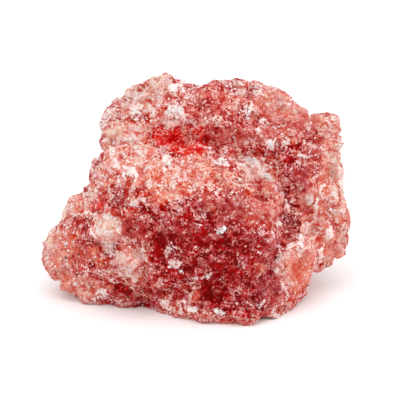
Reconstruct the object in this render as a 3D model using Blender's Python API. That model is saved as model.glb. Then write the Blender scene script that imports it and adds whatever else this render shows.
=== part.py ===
"""Rough strawberry quartz: one natural, broken lump of granular pink to wine-red quartz.

The stone lies on the flat patches broken on its underside. +X is to its right and +Z up, and its
broad front face looks along -Y. The origin is on the surface that it stands on, under the middle
of its box. Lengths below are in millimetres, and go through mm() on their way into a mesh.
"""

from dataclasses import dataclass

import bmesh
import bpy
from mathutils import Vector, noise

MM_PER_METRE = 1000.0

# Driving dimensions: the box of the finished stone.
WIDTH = 61.5
DEPTH = 41.0
HEIGHT = 43.5

# The grown-together masses that make the stone, each the convex hull of its corners.
MASSES = {
    "body": (
        (14.8, -13.8, -0.9), (8.1, -14.2, -0.9), (1.7, -12.8, -0.9), (-5.2, -9.4, -0.9),
        (-10.5, -5.2, -0.9), (-8.7, -14.0, 23.5), (0.9, -14.5, 24.0), (8.3, -12.5, 25.5),
        (15.8, -12.0, 20.4), (-16.2, -4.0, 30.0), (2.8, 0.0, 29.5), (14.2, -3.0, 25.0),
        (-19.0, -6.0, 24.8), (-19.6, 0.0, 27.0), (-19.8, 0.0, 22.5), (-18.0, 13.0, 4.0),
        (-14.0, 17.0, 20.0), (10.0, 19.0, 20.0), (20.0, 15.0, 6.0), (-13.0, 12.0, -0.9),
        (13.0, 14.0, -0.9), (4.0, -16.5, 14.5),
    ),
    "crown": (
        (-9.8, 7.0, 41.4), (-6.4, 8.0, 42.3), (-1.6, 9.0, 39.8), (7.9, 11.0, 39.0),
        (12.5, 11.0, 40.4), (17.5, 12.0, 39.4), (20.5, 11.0, 38.0), (23.5, 10.0, 35.4),
        (-19.0, 2.0, 32.2), (-18.7, 4.0, 35.2), (-16.6, 6.0, 38.2), (-12.8, 8.0, 40.8),
        (-16.0, 0.0, 28.0), (2.8, 1.5, 28.5), (11.0, 0.0, 27.0), (18.0, -4.0, 19.0),
        (-8.0, 12.5, 39.6), (2.0, 16.5, 38.0), (14.0, 18.0, 35.5), (-15.0, 14.0, 33.0),
        (-4.0, 19.5, 33.0), (10.0, 21.0, 32.0), (20.0, 17.0, 31.0),
        (-15.0, 17.0, 20.0), (18.0, 19.0, 18.0), (4.0, 22.5, 24.0),
    ),
    "left_foot": (
        (-26.9, -3.0, 2.2), (-30.3, -2.0, 7.2), (-30.3, -1.0, 9.8), (-28.4, 0.0, 14.4),
        (-26.8, 1.0, 17.8), (-25.2, 2.0, 20.0), (-20.8, 0.0, 22.8), (-18.2, -3.0, -0.6),
        (-24.4, 0.4, -0.6), (-12.0, -5.8, -0.9), (-10.5, -13.0, 13.0), (-14.0, -12.0, 18.0),
        (-16.5, -8.0, 21.5), (-22.0, 10.0, 2.0), (-18.0, 13.0, 14.0), (-25.5, 7.0, 11.0),
        (-20.0, 9.0, -0.9),
    ),
    "right_buttress": (
        (27.0, 6.0, 36.2), (29.0, 4.0, 33.8), (24.6, 5.0, 28.5), (24.4, 4.0, 25.2),
        (29.4, 2.0, 19.4), (31.6, 1.0, 15.0), (31.0, 2.0, 9.8), (30.6, 3.0, 6.0),
        (27.4, 4.0, 3.0), (21.0, 17.0, 5.0), (26.0, 14.0, 18.0), (22.0, 17.0, 28.0),
        (25.0, 13.0, 32.0), (25.0, 10.0, 26.0),
        (22.5, 9.0, 35.4), (18.0, -5.0, 20.0), (19.0, -6.0, 9.0), (14.0, 3.0, 32.0),
        (10.0, 16.0, 8.0), (10.0, 16.0, 28.0),
    ),
    "right_lobe": (
        (20.2, -10.0, 15.8), (17.5, -12.0, 14.5), (16.4, -13.2, 8.7), (15.4, -14.0, -0.9),
        (21.8, -5.6, 0.0), (24.8, -0.6, 2.0), (25.2, -4.0, 8.4), (23.4, -6.5, 15.5),
        (24.0, 2.0, 16.0), (8.0, 0.0, 1.0), (8.0, 0.0, 15.0), (18.0, 9.0, -0.9),
    ),
    "back": (
        (-15.0, 17.0, 9.0), (-6.0, 21.0, 6.0), (7.0, 23.5, 9.0), (15.0, 20.0, 5.0),
        (-9.0, 20.5, 22.0), (3.0, 24.0, 17.0), (12.0, 21.5, 20.0), (-8.0, 12.0, -0.9),
        (9.0, 16.5, -0.9), (-8.0, 5.0, 10.0), (10.0, 5.0, 10.0), (0.0, 8.0, 26.0),
    ),
}

VOXEL = 1.0
SOFTENING_FACTOR = 0.5
SOFTENING_ROUNDS = 4

FINISHED_FACES = 9750

FOOT_SNAP = 0.02


@dataclass(frozen=True)
class Feature:
    """A ridge or a groove between two points of the surface, or a lump or a pit where they meet.

    A positive height stands proud and a negative one is sunk.
    """

    start: tuple
    end: tuple
    reach: float
    height: float

    def lift(self, place):
        """How far this feature moves the surface at a place, along its normal."""
        start, end = Vector(self.start), Vector(self.end)
        along = end - start
        share = 0.0
        if along.length > 0.0:
            share = (place - start).dot(along) / along.length_squared
        nearest = start + along * min(max(share, 0.0), 1.0)
        gap = (place - nearest).length / self.reach
        if gap >= 1.0:
            return 0.0
        return self.height * (1.0 - gap * gap) ** 2


def lump(centre, reach, height):
    """A Feature around one point."""
    return Feature(centre, centre, reach, height)


FEATURES = (
    # The pale shoulder's lip, and the valley behind it under the crown.
    Feature((-14.0, -2.0, 31.0), (-3.0, -1.5, 30.5), 3.5, 1.0),
    Feature((-3.0, -1.5, 30.5), (8.0, -2.0, 29.5), 3.5, 1.2),
    Feature((8.0, -2.0, 29.5), (17.0, -7.0, 23.0), 3.5, 1.3),
    Feature((-8.0, 3.0, 33.0), (3.0, 2.5, 31.5), 4.0, -1.6),
    Feature((3.0, 2.5, 31.5), (12.0, 0.5, 29.0), 4.0, -1.4),
    Feature((12.0, 0.5, 29.0), (20.0, -5.0, 20.0), 4.5, -1.6),
    # The step under the shoulder, over the front face.
    Feature((-19.0, -6.0, 24.0), (-9.5, -12.0, 23.0), 3.0, -1.2),
    Feature((-9.5, -13.0, 22.0), (4.0, -15.0, 22.5), 3.0, -1.3),
    Feature((4.0, -15.0, 22.5), (13.0, -12.0, 20.0), 3.0, -0.8),
    # The round milky knob, and the pale rib that runs down from it.
    lump((-16.4, -9.9, 17.5), 5.4, -1.2),
    lump((-16.6, -10.1, 17.6), 3.7, 3.6),
    Feature((-14.0, -12.5, 12.5), (-8.0, -12.5, 6.5), 3.2, 1.3),
    # Pits in the wine-red front face.
    lump((-6.5, -15.0, 17.0), 4.5, -1.6),
    lump((8.0, -16.0, 15.0), 4.5, -1.3),
    lump((4.5, -16.0, 7.5), 4.5, -1.5),
    lump((-13.0, -10.5, 5.5), 3.5, -1.2),
    # The fringe of grains along the foot of the front face.
    Feature((-7.5, -12.5, 3.5), (3.0, -14.5, 1.5), 2.6, 1.1),
    Feature((-8.0, -13.0, 7.0), (2.0, -15.5, 5.0), 2.4, -0.9),
    # The seam between the front face and the right lobe, and the dish in that lobe.
    Feature((17.0, -12.5, 15.5), (16.5, -13.5, 3.0), 2.4, -1.3),
    lump((20.5, -8.5, 9.5), 3.6, -0.8),
    Feature((24.5, -3.0, 17.0), (24.5, -1.5, 4.5), 2.8, -1.6),
    # Knobs on the crown, and the notch beside its peak.
    lump((-7.0, 7.5, 42.5), 5.0, 1.3),
    lump((0.0, 9.0, 41.0), 5.0, -2.2),
    lump((6.0, 11.0, 40.5), 5.0, -1.0),
    lump((29.5, 4.0, 26.5), 6.0, -1.0),
    lump((27.0, 6.0, 34.5), 4.5, 0.6),
    lump((24.0, 8.0, 34.5), 3.5, -1.0),
    # Ledges, lumps and pits broken across the back and the two ends.
    Feature((-14.0, 17.0, 26.0), (-2.0, 21.5, 28.5), 4.0, 1.6),
    Feature((-2.0, 21.5, 28.5), (12.0, 21.5, 24.0), 4.0, 1.4),
    Feature((-10.0, 20.5, 21.0), (6.0, 24.5, 21.5), 3.5, -1.7),
    Feature((13.0, 21.0, 15.0), (20.0, 16.5, 9.0), 4.0, 1.4),
    lump((3.0, 24.5, 12.0), 5.5, 1.5),
    lump((-10.0, 20.0, 10.0), 4.5, -1.6),
    lump((12.0, 21.0, 6.0), 4.5, -1.5),
    Feature((-20.0, 12.0, 8.0), (-18.0, 14.0, 20.0), 3.5, -1.4),
    lump((-24.0, 8.0, 10.0), 4.5, 1.2),
    lump((28.5, 8.0, 16.0), 4.5, 1.1),
    Feature((28.0, 7.0, 24.0), (25.0, 14.0, 22.0), 3.2, -1.4),
    # Hollows broken out of the underside, between the patches that it stands on.
    Feature((-4.0, 1.0, -0.9), (6.0, 4.5, -0.9), 4.8, -2.6),
    lump((-11.0, 3.0, -0.9), 4.5, -2.3),
    lump((10.5, -4.0, -0.9), 4.6, -2.5),
    lump((-19.5, 5.0, -0.9), 4.0, -2.2),
    Feature((0.0, -8.5, -0.9), (4.0, -7.0, -0.9), 3.6, -2.2),
    lump((9.0, 12.0, -0.9), 4.2, -2.3),
    lump((-4.0, 11.0, -0.9), 4.0, -2.2),
)


@dataclass(frozen=True)
class Relief:
    """One scale of broken surface: facets of this size, tilted and stepped by up to this lift."""

    size: float
    lift: float
    salt: float

    def at(self, place):
        """How far the facet at a place lifts the surface."""
        spot = place / self.size + Vector((self.salt, self.salt, self.salt))
        seed = noise.voronoi(spot)[1][0]
        tilt = noise.cell_vector(seed * 7.0) - Vector((0.5, 0.5, 0.5))
        step = noise.cell(seed * 11.0) - 0.5
        return self.lift * (step + 1.6 * (spot - seed).dot(tilt))


RELIEFS = (
    Relief(size=9.0, lift=0.9, salt=3.7),
    Relief(size=4.8, lift=0.5, salt=11.3),
    Relief(size=2.8, lift=0.3, salt=23.9),
)
GROWTH = 0.9
SWELL_SIZE = 12.0
SWELL_LIFT = 0.9


def mm(length):
    """A length in millimetres, in metres."""
    return length / MM_PER_METRE


def clear_scene():
    """Removes the objects that Blender starts with."""
    for obj in list(bpy.data.objects):
        bpy.data.objects.remove(obj)


def linked_object(name, mesh):
    """A new object of this mesh, in the scene."""
    obj = bpy.data.objects.new(name, mesh)
    bpy.context.scene.collection.objects.link(obj)
    return obj


def hull_object(name, corners):
    """The convex hull of the corners."""
    hull = bmesh.new()
    for corner in corners:
        hull.verts.new(Vector(corner) / MM_PER_METRE)
    made = bmesh.ops.convex_hull(hull, input=hull.verts)
    inside = [v for v in made["geom_interior"] if isinstance(v, bmesh.types.BMVert)]
    bmesh.ops.delete(hull, geom=inside, context="VERTS")
    bmesh.ops.recalc_face_normals(hull, faces=hull.faces)
    mesh = bpy.data.meshes.new(name)
    hull.to_mesh(mesh)
    hull.free()
    return linked_object(name, mesh)


def baked(obj):
    """Turns an object's modifiers into its mesh."""
    bpy.context.view_layer.update()
    graph = bpy.context.evaluated_depsgraph_get()
    mesh = bpy.data.meshes.new_from_object(obj.evaluated_get(graph))
    obj.modifiers.clear()
    obj.data = mesh


def join_masses():
    """One even skin over the masses' union, with its corners softened."""
    hulls = [hull_object(name, corners) for name, corners in MASSES.items()]
    stone, others = hulls[0], hulls[1:]
    for other in others:
        union = stone.modifiers.new("Join_" + other.name, "BOOLEAN")
        union.operation = "UNION"
        union.object = other
    skin = stone.modifiers.new("Skin", "REMESH")
    skin.mode = "VOXEL"
    skin.voxel_size = mm(VOXEL)
    soft = stone.modifiers.new("Soften", "SMOOTH")
    soft.factor = SOFTENING_FACTOR
    soft.iterations = SOFTENING_ROUNDS
    baked(stone)
    for other in others:
        bpy.data.objects.remove(other)
    return stone


def carve(stone):
    """Breaks the skin into facets, and adds the ridges, grooves, lumps and pits."""
    skin = bmesh.new()
    skin.from_mesh(stone.data)
    skin.normal_update()
    lifts = []
    for vert in skin.verts:
        place = vert.co * MM_PER_METRE
        lift = GROWTH + SWELL_LIFT * noise.noise(place / SWELL_SIZE)
        lift += sum(relief.at(place) for relief in RELIEFS)
        lift += sum(feature.lift(place) for feature in FEATURES)
        lifts.append(vert.normal * mm(lift))
    for vert, lift in zip(skin.verts, lifts):
        vert.co += lift
    skin.to_mesh(stone.data)
    skin.free()


def thin_out(stone):
    """Spends fewer faces where the skin is flat."""
    fewer = stone.modifiers.new("Thin_out", "DECIMATE")
    triangles = sum(len(face.vertices) - 2 for face in stone.data.polygons)
    fewer.ratio = FINISHED_FACES / triangles
    baked(stone)


def largest_shell(skin):
    """The vertices of the largest connected shell of a skin."""
    largest = set()
    waiting = set(skin.verts)
    while waiting:
        shell = set()
        front = [waiting.pop()]
        while front:
            vert = front.pop()
            shell.add(vert)
            beside = [edge.other_vert(vert) for edge in vert.link_edges]
            fresh = [other for other in beside if other in waiting]
            waiting.difference_update(fresh)
            front.extend(fresh)
        largest = max(largest, shell, key=len)
    return largest


def cut_foot(stone):
    """Cuts the underside flat where it stands, and drops the crumbs that this leaves loose."""
    skin = bmesh.new()
    skin.from_mesh(stone.data)
    everything = skin.verts[:] + skin.edges[:] + skin.faces[:]
    cut = bmesh.ops.bisect_plane(
        skin, geom=everything, dist=mm(FOOT_SNAP), plane_co=(0.0, 0.0, 0.0), plane_no=(0.0, 0.0, -1.0),
        clear_outer=True,
    )
    rim = [edge for edge in cut["geom_cut"] if isinstance(edge, bmesh.types.BMEdge)]
    bmesh.ops.triangle_fill(skin, edges=rim, use_beauty=True, normal=(0.0, 0.0, -1.0))
    bmesh.ops.triangulate(skin, faces=skin.faces)
    kept = largest_shell(skin)
    crumbs = [vert for vert in skin.verts if vert not in kept]
    bmesh.ops.delete(skin, geom=crumbs, context="VERTS")
    for vert in skin.verts:
        if abs(vert.co.z) <= mm(FOOT_SNAP):
            vert.co.z = 0.0
    skin.to_mesh(stone.data)
    skin.free()


def settle(stone):
    """Brings the stone to its stated box, standing on the origin's plane."""
    places = [vert.co for vert in stone.data.vertices]
    low = Vector(min(place[axis] for place in places) for axis in range(3))
    high = Vector(max(place[axis] for place in places) for axis in range(3))
    size = high - low
    middle = (low + high) / 2.0
    wanted = Vector((mm(WIDTH), mm(DEPTH), mm(HEIGHT)))
    for vert in stone.data.vertices:
        place = vert.co - Vector((middle.x, middle.y, low.z))
        vert.co = Vector(place[axis] * wanted[axis] / size[axis] for axis in range(3))


def quartz():
    """Granular quartz, tinted strawberry red by its flakes of iron oxide."""
    material = bpy.data.materials.new("Strawberry_quartz")
    material.use_nodes = True
    shader = material.node_tree.nodes["Principled BSDF"]
    shader.inputs["Base Color"].default_value = (0.55, 0.13, 0.12, 1.0)
    shader.inputs["Roughness"].default_value = 0.45
    shader.inputs["Metallic"].default_value = 0.0
    return material


def main():
    """Builds the stone as one solid."""
    clear_scene()
    stone = join_masses()
    stone.name = "strawberry_quartz"
    stone.data.name = stone.name
    carve(stone)
    thin_out(stone)
    cut_foot(stone)
    settle(stone)
    stone.data.materials.clear()
    stone.data.materials.append(quartz())


if __name__ == "__main__":
    main()
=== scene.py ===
"""Strawberry quartz: a rough lump of granular pink quartz, dressed for its looks.

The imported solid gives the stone's form and place. Its skin is made again in fine grain, mapped
with the minerals that colour it, and sown with grains of milky, clear, rose and wine-red quartz.
Lengths are in metres unless a name or a docstring says millimetres.
"""

import logging
import math
from dataclasses import dataclass, field
from enum import Enum

import bmesh
import bpy
import numpy as np
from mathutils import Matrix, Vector, noise
from mathutils.bvhtree import BVHTree


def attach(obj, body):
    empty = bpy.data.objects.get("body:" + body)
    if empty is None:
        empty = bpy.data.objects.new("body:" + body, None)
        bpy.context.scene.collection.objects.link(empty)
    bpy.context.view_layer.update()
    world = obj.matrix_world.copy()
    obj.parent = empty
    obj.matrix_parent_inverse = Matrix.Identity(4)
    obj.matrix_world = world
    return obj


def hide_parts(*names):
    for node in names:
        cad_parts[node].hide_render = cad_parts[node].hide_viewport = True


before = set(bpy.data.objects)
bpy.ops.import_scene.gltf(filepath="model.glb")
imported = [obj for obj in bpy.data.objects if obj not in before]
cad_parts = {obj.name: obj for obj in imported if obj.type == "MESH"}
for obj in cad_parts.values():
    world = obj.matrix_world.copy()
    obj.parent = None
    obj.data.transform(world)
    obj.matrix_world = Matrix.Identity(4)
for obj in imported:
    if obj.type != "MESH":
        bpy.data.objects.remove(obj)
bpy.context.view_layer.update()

LOG = logging.getLogger("strawberry_quartz")
NODE = "strawberry_quartz"
MM = 0.001
QUARTZ_IOR = 1.544

Colour = tuple[float, float, float, float]
Socket = bpy.types.NodeSocket


class Mineral(Enum):
    """What colours a patch of the stone. Each value names the patch's attribute on the skin."""

    MILKY = "milky"
    FROST = "frost"
    BLUSH = "blush"
    ROSE = "rose"
    RUST = "rust"
    EMBER = "ember"
    MAUVE = "mauve"
    WINE = "wine"
    BLOOD = "blood"
    SOOT = "soot"
    HAZE = "haze"


class Habit(Enum):
    """How a loose grain of quartz is shaped."""

    CHIP = "chip"
    BLOCK = "block"
    POINT = "point"


@dataclass(frozen=True)
class Tints:
    """The colours of the stone's minerals, of its painted shade flush and of its painted glints, as linear
    values.
    """

    milky: Colour = (0.850, 0.745, 0.720, 1.0)
    # Painted shade: a red flush laid on places where little light falls.
    flush: Colour = (0.990, 0.470, 0.410, 1.0)
    frost: Colour = (0.935, 0.650, 0.610, 1.0)
    blush: Colour = (0.900, 0.335, 0.280, 1.0)
    rose: Colour = (0.753, 0.171, 0.150, 1.0)
    rust: Colour = (0.812, 0.156, 0.080, 1.0)
    ember: Colour = (0.840, 0.036, 0.027, 1.0)
    mauve: Colour = (0.500, 0.060, 0.075, 1.0)
    wine: Colour = (0.520, 0.047, 0.054, 1.0)
    blood: Colour = (0.540, 0.0025, 0.0045, 1.0)
    deep_rose: Colour = (0.630, 0.091, 0.084, 1.0)
    spark: Colour = (0.700, 0.430, 0.390, 1.0)
    clear: Colour = (0.820, 0.730, 0.700, 1.0)
    # Painted highlight: the colour of the painted glints.
    painted_glint: Colour = (0.860, 0.820, 0.810, 1.0)
    soot: Colour = (0.060, 0.050, 0.040, 1.0)

    def of(self, mineral: Mineral) -> Colour:
        """The colour of one mineral."""
        return getattr(self, mineral.value)


TINTS = Tints()


@dataclass(frozen=True)
class Patch:
    """One patch of a mineral on the stone's face, as it is mapped on the survey's sheet.

    Attributes:
        mineral: What the patch is made of.
        across: Its centre to the right of the sheet's middle, in millimetres.
        rise: Its centre above the sheet's middle, in millimetres.
        wide: Half its width before it is turned, in millimetres.
        tall: Half its height before it is turned, in millimetres.
        strength: How fully the mineral covers its middle, from 0 to 1.
        turn: How far it is turned anticlockwise on the sheet, in degrees.
    """

    mineral: Mineral
    across: float
    rise: float
    wide: float
    tall: float
    strength: float
    turn: float = 0.0


# The face's regions, and in each the patches of every mineral that it holds. A row gives a patch's
# place across and up the sheet, its half width and half height, its strength and, if any, its turn.
REGIONS: dict[str, dict[Mineral, tuple[tuple[float, ...], ...]]] = {
    "ground tones": {
        Mineral.WINE: (
            (1.4, -12, 11.61, 10.84, 0.72), (-6.8, -5.4, 6.97, 5.03, 0.5, 10),
            (-9.7, -19, 7.74, 2.32, 0.55, -12), (7.7, -9.7, 5.8, 6.19, 0.5),
            (12.8, 10.4, 5.8, 1.94, 0.3, -20), (8.1, 1.2, 2.13, 0.97, 0.5), (-19.4, -6.8, 5.42, 3.87, 0.35),
            (7, -19.4, 7.35, 2.71, 0.6, -4), (7.7, -20.5, 6.97, 2.32, 0.7, -3), (0, -10.6, 8.51, 7.74, 0.4),
            (17, 10.1, 3.48, 3.1, 0.4),
        ),
        Mineral.MAUVE: (
            (12, -13.5, 5.03, 8.9, 0.6), (18.2, 2.9, 2.71, 7.74, 0.5), (17.4, -4.8, 2.32, 4.26, 0.5),
        ),
        Mineral.BLUSH: (
            (-13.9, 9.7, 5.8, 6.58, 0.7), (-4.8, 5.4, 8.9, 3.48, 0.6, -8), (5.4, 3.5, 4.84, 2.32, 0.4, -10),
            (-7.7, 1, 3.29, 2.32, 0.45), (-27.1, -10.6, 3.48, 6.58, 0.75),
            (-22.8, -17, 5.03, 2.52, 0.7, -12), (-23.2, -1.4, 2.71, 1.94, 0.7, 30),
            (24.4, -1, 3.87, 11.61, 0.7, -8), (26.1, -10.6, 2.71, 2.32, 0.7, 30),
            (18.4, -13.2, 3.48, 5.42, 0.65, -8), (12, 6.2, 5.03, 1.94, 0.8, -38),
            (-8.5, 18.6, 2.32, 3.87, 0.75), (-10.1, 14.5, 2.32, 1.55, 0.6), (-4.6, 15.1, 2.71, 1.55, 0.45),
            (16.3, 18, 5.42, 2.71, 0.7, -25), (22.4, 15.1, 2.32, 1.94, 0.5), (25.7, 8.7, 1.74, 5.03, 0.9),
        ),
        Mineral.FROST: (
            (-9.7, 7.4, 2.71, 1.74, 0.45, -10), (-13.5, 8.7, 2.52, 1.55, 0.45),
            (-11.6, 10.4, 1.94, 1.35, 0.45), (0, 7.4, 3.1, 1.16, 0.4, -5), (-4.3, 4.6, 2.32, 1.55, 0.35),
            (14.5, 3.9, 1.35, 0.77, 0.85, -38), (-29, -7.7, 1.55, 3.48, 0.45, -25),
            (-13.9, 17.8, 4.64, 5.42, 0.4), (11.6, 5.6, 4.26, 1.55, 0.7, -38),
            (8.9, 7.2, 2.71, 1.55, 0.6, -10), (-10.1, 20.9, 3.1, 1.55, 0.35, 20),
            (-7.7, 20.1, 1.94, 1.94, 0.25), (-3.5, 20.9, 3.48, 1.35, 0.35), (-18.2, 15.1, 1.16, 3.87, 0.45),
        ),
        Mineral.RUST: (
            (-11.6, 8.1, 1.16, 1.74, 0.35, -30), (-1.9, 5.4, 2.71, 1.35, 0.3, -15),
            (4.3, 3.9, 1.94, 1.16, 0.35),
        ),
        Mineral.SOOT: (
            (-21.7, -11.2, 5.42, 4.26, 0.8), (-15.9, -17.4, 5.03, 2.71, 0.5), (6.6, -5, 1.74, 1.55, 0.9),
            (-27.1, -12, 3.87, 3.87, 0.4),
        ),
        Mineral.EMBER: (
            (2.9, -12, 6.58, 5.03, 0.1), (5.4, -21.9, 3.48, 0.97, 0.25), (-0.4, 13.4, 1.94, 1.16, 0.7),
        ),
        Mineral.HAZE: (
            (17.4, 17, 7.74, 5.42, 0.85), (7.7, 12.6, 5.03, 2.71, 0.7), (26.7, -9.7, 3.48, 3.1, 0.8, 20),
            (-26.7, -12.6, 5.03, 7.35, 0.85), (19.4, -13.2, 3.29, 4.64, 0.9), (9.7, -2.5, 6.58, 3.48, 0.75),
            (13.2, -13.9, 3.48, 6.97, 0.85), (-13.2, -5.4, 3.87, 2.71, 0.75),
            (-1.9, -6.2, 3.87, 2.32, 0.6, -10), (3.5, -1.5, 5.03, 1.94, 0.5), (6.4, -12, 2.32, 3.1, 0.6),
            (-6.8, -15.5, 2.32, 2.32, 0.5), (0, 17.4, 4.64, 3.1, 0.3), (20.1, 1.9, 2.32, 6.58, 0.7),
            (-15.9, 4.3, 3.1, 2.32, 0.4), (-9.7, -19.4, 3.87, 1.55, 0.6, -12), (24.2, 6.8, 3.1, 7.74, 0.5),
            (-18, -5.4, 3.1, 2.9, 0.35), (-7.7, 22.1, 3.48, 1.94, 0.5), (-14.5, 18.4, 3.1, 2.71, 0.4),
        ),
    },
    "crown": {
        Mineral.MILKY: (
            (-5, 21.3, 1.94, 0.87, 1, 8), (-3.5, 22.4, 0.77, 0.77, 0.7), (-12.2, 18, 1.26, 1.16, 0.95),
            (-9.3, 17, 0.77, 0.58, 0.7), (-4.8, 16.8, 1.84, 1.35, 0.9, -10), (-5.8, 14.7, 1.35, 0.58, 0.75),
            (9.5, 17.8, 1.16, 1.74, 0.75, -10), (9.3, 16.1, 0.58, 0.77, 0.7),
            (13.4, 11.2, 1.45, 1.06, 0.75), (13.7, 9.9, 0.97, 0.77, 0.65),
            (11.4, 13.2, 0.87, 0.77, 0.7, -20), (12.6, 14.9, 0.77, 1.06, 0.65, -25),
            (14.9, 13.9, 0.77, 0.58, 0.6), (16.3, 11, 0.87, 0.68, 0.5, 20), (18.2, 13, 0.97, 0.77, 0.65),
            (21.7, 11, 0.87, 0.58, 0.55), (19.2, 9.1, 0.77, 0.58, 0.5),
        ),
        Mineral.FROST: (
            (-7.4, 22.8, 2.52, 1.74, 0.8), (-13.9, 19.7, 1.74, 2.52, 0.45, -40),
            (-6.2, 14.7, 1.94, 0.97, 0.5), (8.7, 20.9, 1.94, 0.97, 0.35), (7.4, 20.9, 0.97, 0.97, 0.5),
            (13.2, 19.9, 3.48, 1.35, 0.3, -20), (17, 18.2, 2.71, 1.74, 0.35, -30),
            (21.3, 15.9, 1.16, 1.16, 0.4),
        ),
        Mineral.BLUSH: (
            (-5.4, 20.1, 3.1, 1.74, 0.5), (-14.9, 13.2, 3.68, 1.94, 0.95, 5),
            (25.2, 13.9, 2.52, 2.71, 0.45), (25.7, 8.1, 1.74, 2.71, 0.5),
        ),
        Mineral.EMBER: (
            (-5.8, 12.2, 2.9, 1.94, 1, -8), (-5.4, 11, 2.52, 1.35, 0.9, -8), (-6.8, 13.2, 2.71, 1.55, 0.8),
            (-1.9, 10.1, 3.87, 1.16, 0.95, 3), (0, 11, 1.94, 1.16, 0.6),
        ),
        Mineral.BLOOD: (
            (-5.2, 12.6, 0.97, 0.77, 0.4), (1.4, 12.2, 1.16, 1.16, 0.6, -30),
            (3.5, 9.9, 0.97, 0.68, 0.8, -20), (18.2, 10.6, 1.55, 0.58, 0.7, 15),
        ),
        Mineral.WINE: (
            (2.3, 13.5, 2.32, 1.94, 0.35, -30), (-13.5, 16.1, 1.55, 0.58, 0.45),
            (-11, 16.3, 0.77, 0.77, 0.5), (10.8, 9.3, 2.32, 0.77, 0.35, -10), (2.9, 18.4, 1.94, 1.55, 0.4),
            (4.6, 16.3, 1.74, 1.35, 0.5),
        ),
        Mineral.MAUVE: (
            (5.4, 11, 3.48, 1.55, 0.4), (7.7, 14.7, 1.55, 1.16, 0.35),
        ),
        Mineral.RUST: (
            (-14.3, 9.9, 1.55, 0.97, 0.5), (-11, 12.4, 1.16, 0.97, 0.35),
        ),
        Mineral.ROSE: (
            (9.1, 12.2, 2.71, 1.74, 0.4), (24.2, 15.1, 2.32, 2.32, 0.6),
        ),
    },
    "shoulder band": {
        Mineral.MILKY: (
            (-6.2, 7.5, 1.06, 1.35, 1, 10), (-7.4, 6.2, 0.77, 0.58, 0.7), (-16.8, 8.7, 0.97, 0.97, 0.8),
            (-16.1, 7, 1.16, 0.97, 0.9, -35), (-14.3, 5.8, 1.26, 0.97, 0.95, -35),
            (-12.8, 4.8, 0.97, 0.97, 0.85, -20), (-15.1, 4.6, 0.97, 0.58, 0.6),
            (-3.3, 7.7, 0.77, 0.58, 0.6), (-0.4, 4.6, 1.35, 0.58, 0.5, 15), (-6.2, 2.5, 0.97, 0.77, 0.5),
            (-1.7, 1.9, 1.16, 0.77, 0.4, 15), (4.3, 7.5, 1.45, 0.97, 0.9), (9.5, 7.2, 1.94, 1.16, 0.85),
            (7.7, 7.2, 0.97, 0.77, 0.5), (12, 7.9, 0.77, 0.48, 0.9, -30), (12, 5.6, 1.74, 0.77, 0.8, -35),
            (13.9, 4.1, 1.74, 0.87, 1, -38), (15.3, 2.7, 0.87, 1.16, 1, -20), (3.5, 1.4, 0.77, 0.97, 0.75),
            (6, 1, 1.16, 0.68, 0.6, 10), (9.5, 3.5, 0.68, 0.58, 0.6), (15.9, 0.8, 0.77, 0.97, 0.95, -20),
            (16.6, -1.9, 0.97, 1.06, 1, -20), (16.6, -0.6, 0.48, 0.97, 0.6, 15),
            (17.6, 0.4, 0.48, 0.58, 0.8), (19.2, -2.9, 0.48, 0.58, 0.7), (14.9, -4.3, 0.48, 1.16, 0.75, 10),
            (13.7, -5.8, 0.39, 0.48, 0.8), (16.8, -6.4, 0.35, 0.58, 0.7),
        ),
        Mineral.BLUSH: (
            (-10.4, 9.3, 2.52, 1.55, 0.9, -10), (-8.7, 6.6, 1.74, 1.55, 0.75),
            (-18.4, 6.2, 1.55, 1.74, 0.5), (-1.9, 8.1, 3.29, 1.55, 0.8, 5),
            (-5.8, 3.5, 4.64, 2.71, 0.85, 5), (-7.2, 0.6, 2.52, 1.35, 0.8, 8), (1, 6.2, 2.71, 1.74, 0.6),
            (-10.1, 13.5, 1.55, 1.16, 0.8), (-3.3, 0.2, 0.97, 0.58, 0.4), (11.2, 4.3, 2.32, 1.16, 0.5, -30),
            (7.4, 5.4, 3.1, 1.35, 0.4), (4.8, 3.3, 2.9, 1.35, 0.3),
        ),
        Mineral.RUST: (
            (-8.7, 3.9, 1.55, 0.97, 0.45, -20), (-8.3, 0.8, 1.74, 0.77, 0.4), (-10.8, 1, 1.35, 0.97, 0.7),
            (-1.9, 3.3, 1.74, 1.16, 0.4),
        ),
        Mineral.FROST: (
            (-5.6, 1.9, 1.55, 1.16, 0.65), (10.3, 6.2, 1.94, 1.16, 0.7, -20),
        ),
        Mineral.WINE: ((-9.7, 0.6, 1.55, 1.16, 0.65),),
        Mineral.EMBER: ((-11, 1, 1.16, 0.77, 0.4),),
        Mineral.ROSE: (
            (10.8, 6.2, 0.77, 0.58, 0.6, -30), (13, 5.4, 0.77, 0.48, 0.6, -35), (8.3, 6.2, 0.97, 0.48, 0.5),
            (4.3, 3.9, 2.32, 1.35, 0.6),
        ),
    },
    "wine strip beside the crest": {
        Mineral.WINE: (
            (17, 6.6, 2.13, 2.32, 0.5, -20), (17.8, 3.1, 1.55, 2.32, 0.4),
            (17.6, -4.8, 1.35, 1.74, 0.5, -15),
        ),
        Mineral.MAUVE: (
            (20.1, 3.9, 1.74, 3.48, 0.6, -8), (19, -1.9, 2.13, 2.71, 0.75), (19, -5.4, 1.94, 1.35, 0.7, 30),
        ),
        Mineral.BLOOD: (
            (18.8, 5, 0.77, 0.77, 0.5), (18.6, -1.2, 1.16, 0.58, 0.6),
        ),
        Mineral.BLUSH: ((18.8, 0, 1.94, 7.35, 0.36),),
    },
    "right buttress": {
        Mineral.MILKY: (
            (21.3, 0.2, 0.77, 1.16, 0.95, -10), (23.4, 2.1, 0.39, 1.74, 1, -8),
            (22.6, -1, 0.39, 1.74, 0.9, -12), (22.1, -3.3, 0.39, 1.74, 0.85, -15),
            (20.9, -5.2, 0.97, 0.77, 0.75, 20), (22.8, -5.6, 0.77, 1.35, 0.75, -20),
            (25.2, -2.1, 0.77, 1.26, 0.8, -25), (27.3, -2.3, 0.58, 0.77, 0.45),
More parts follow.
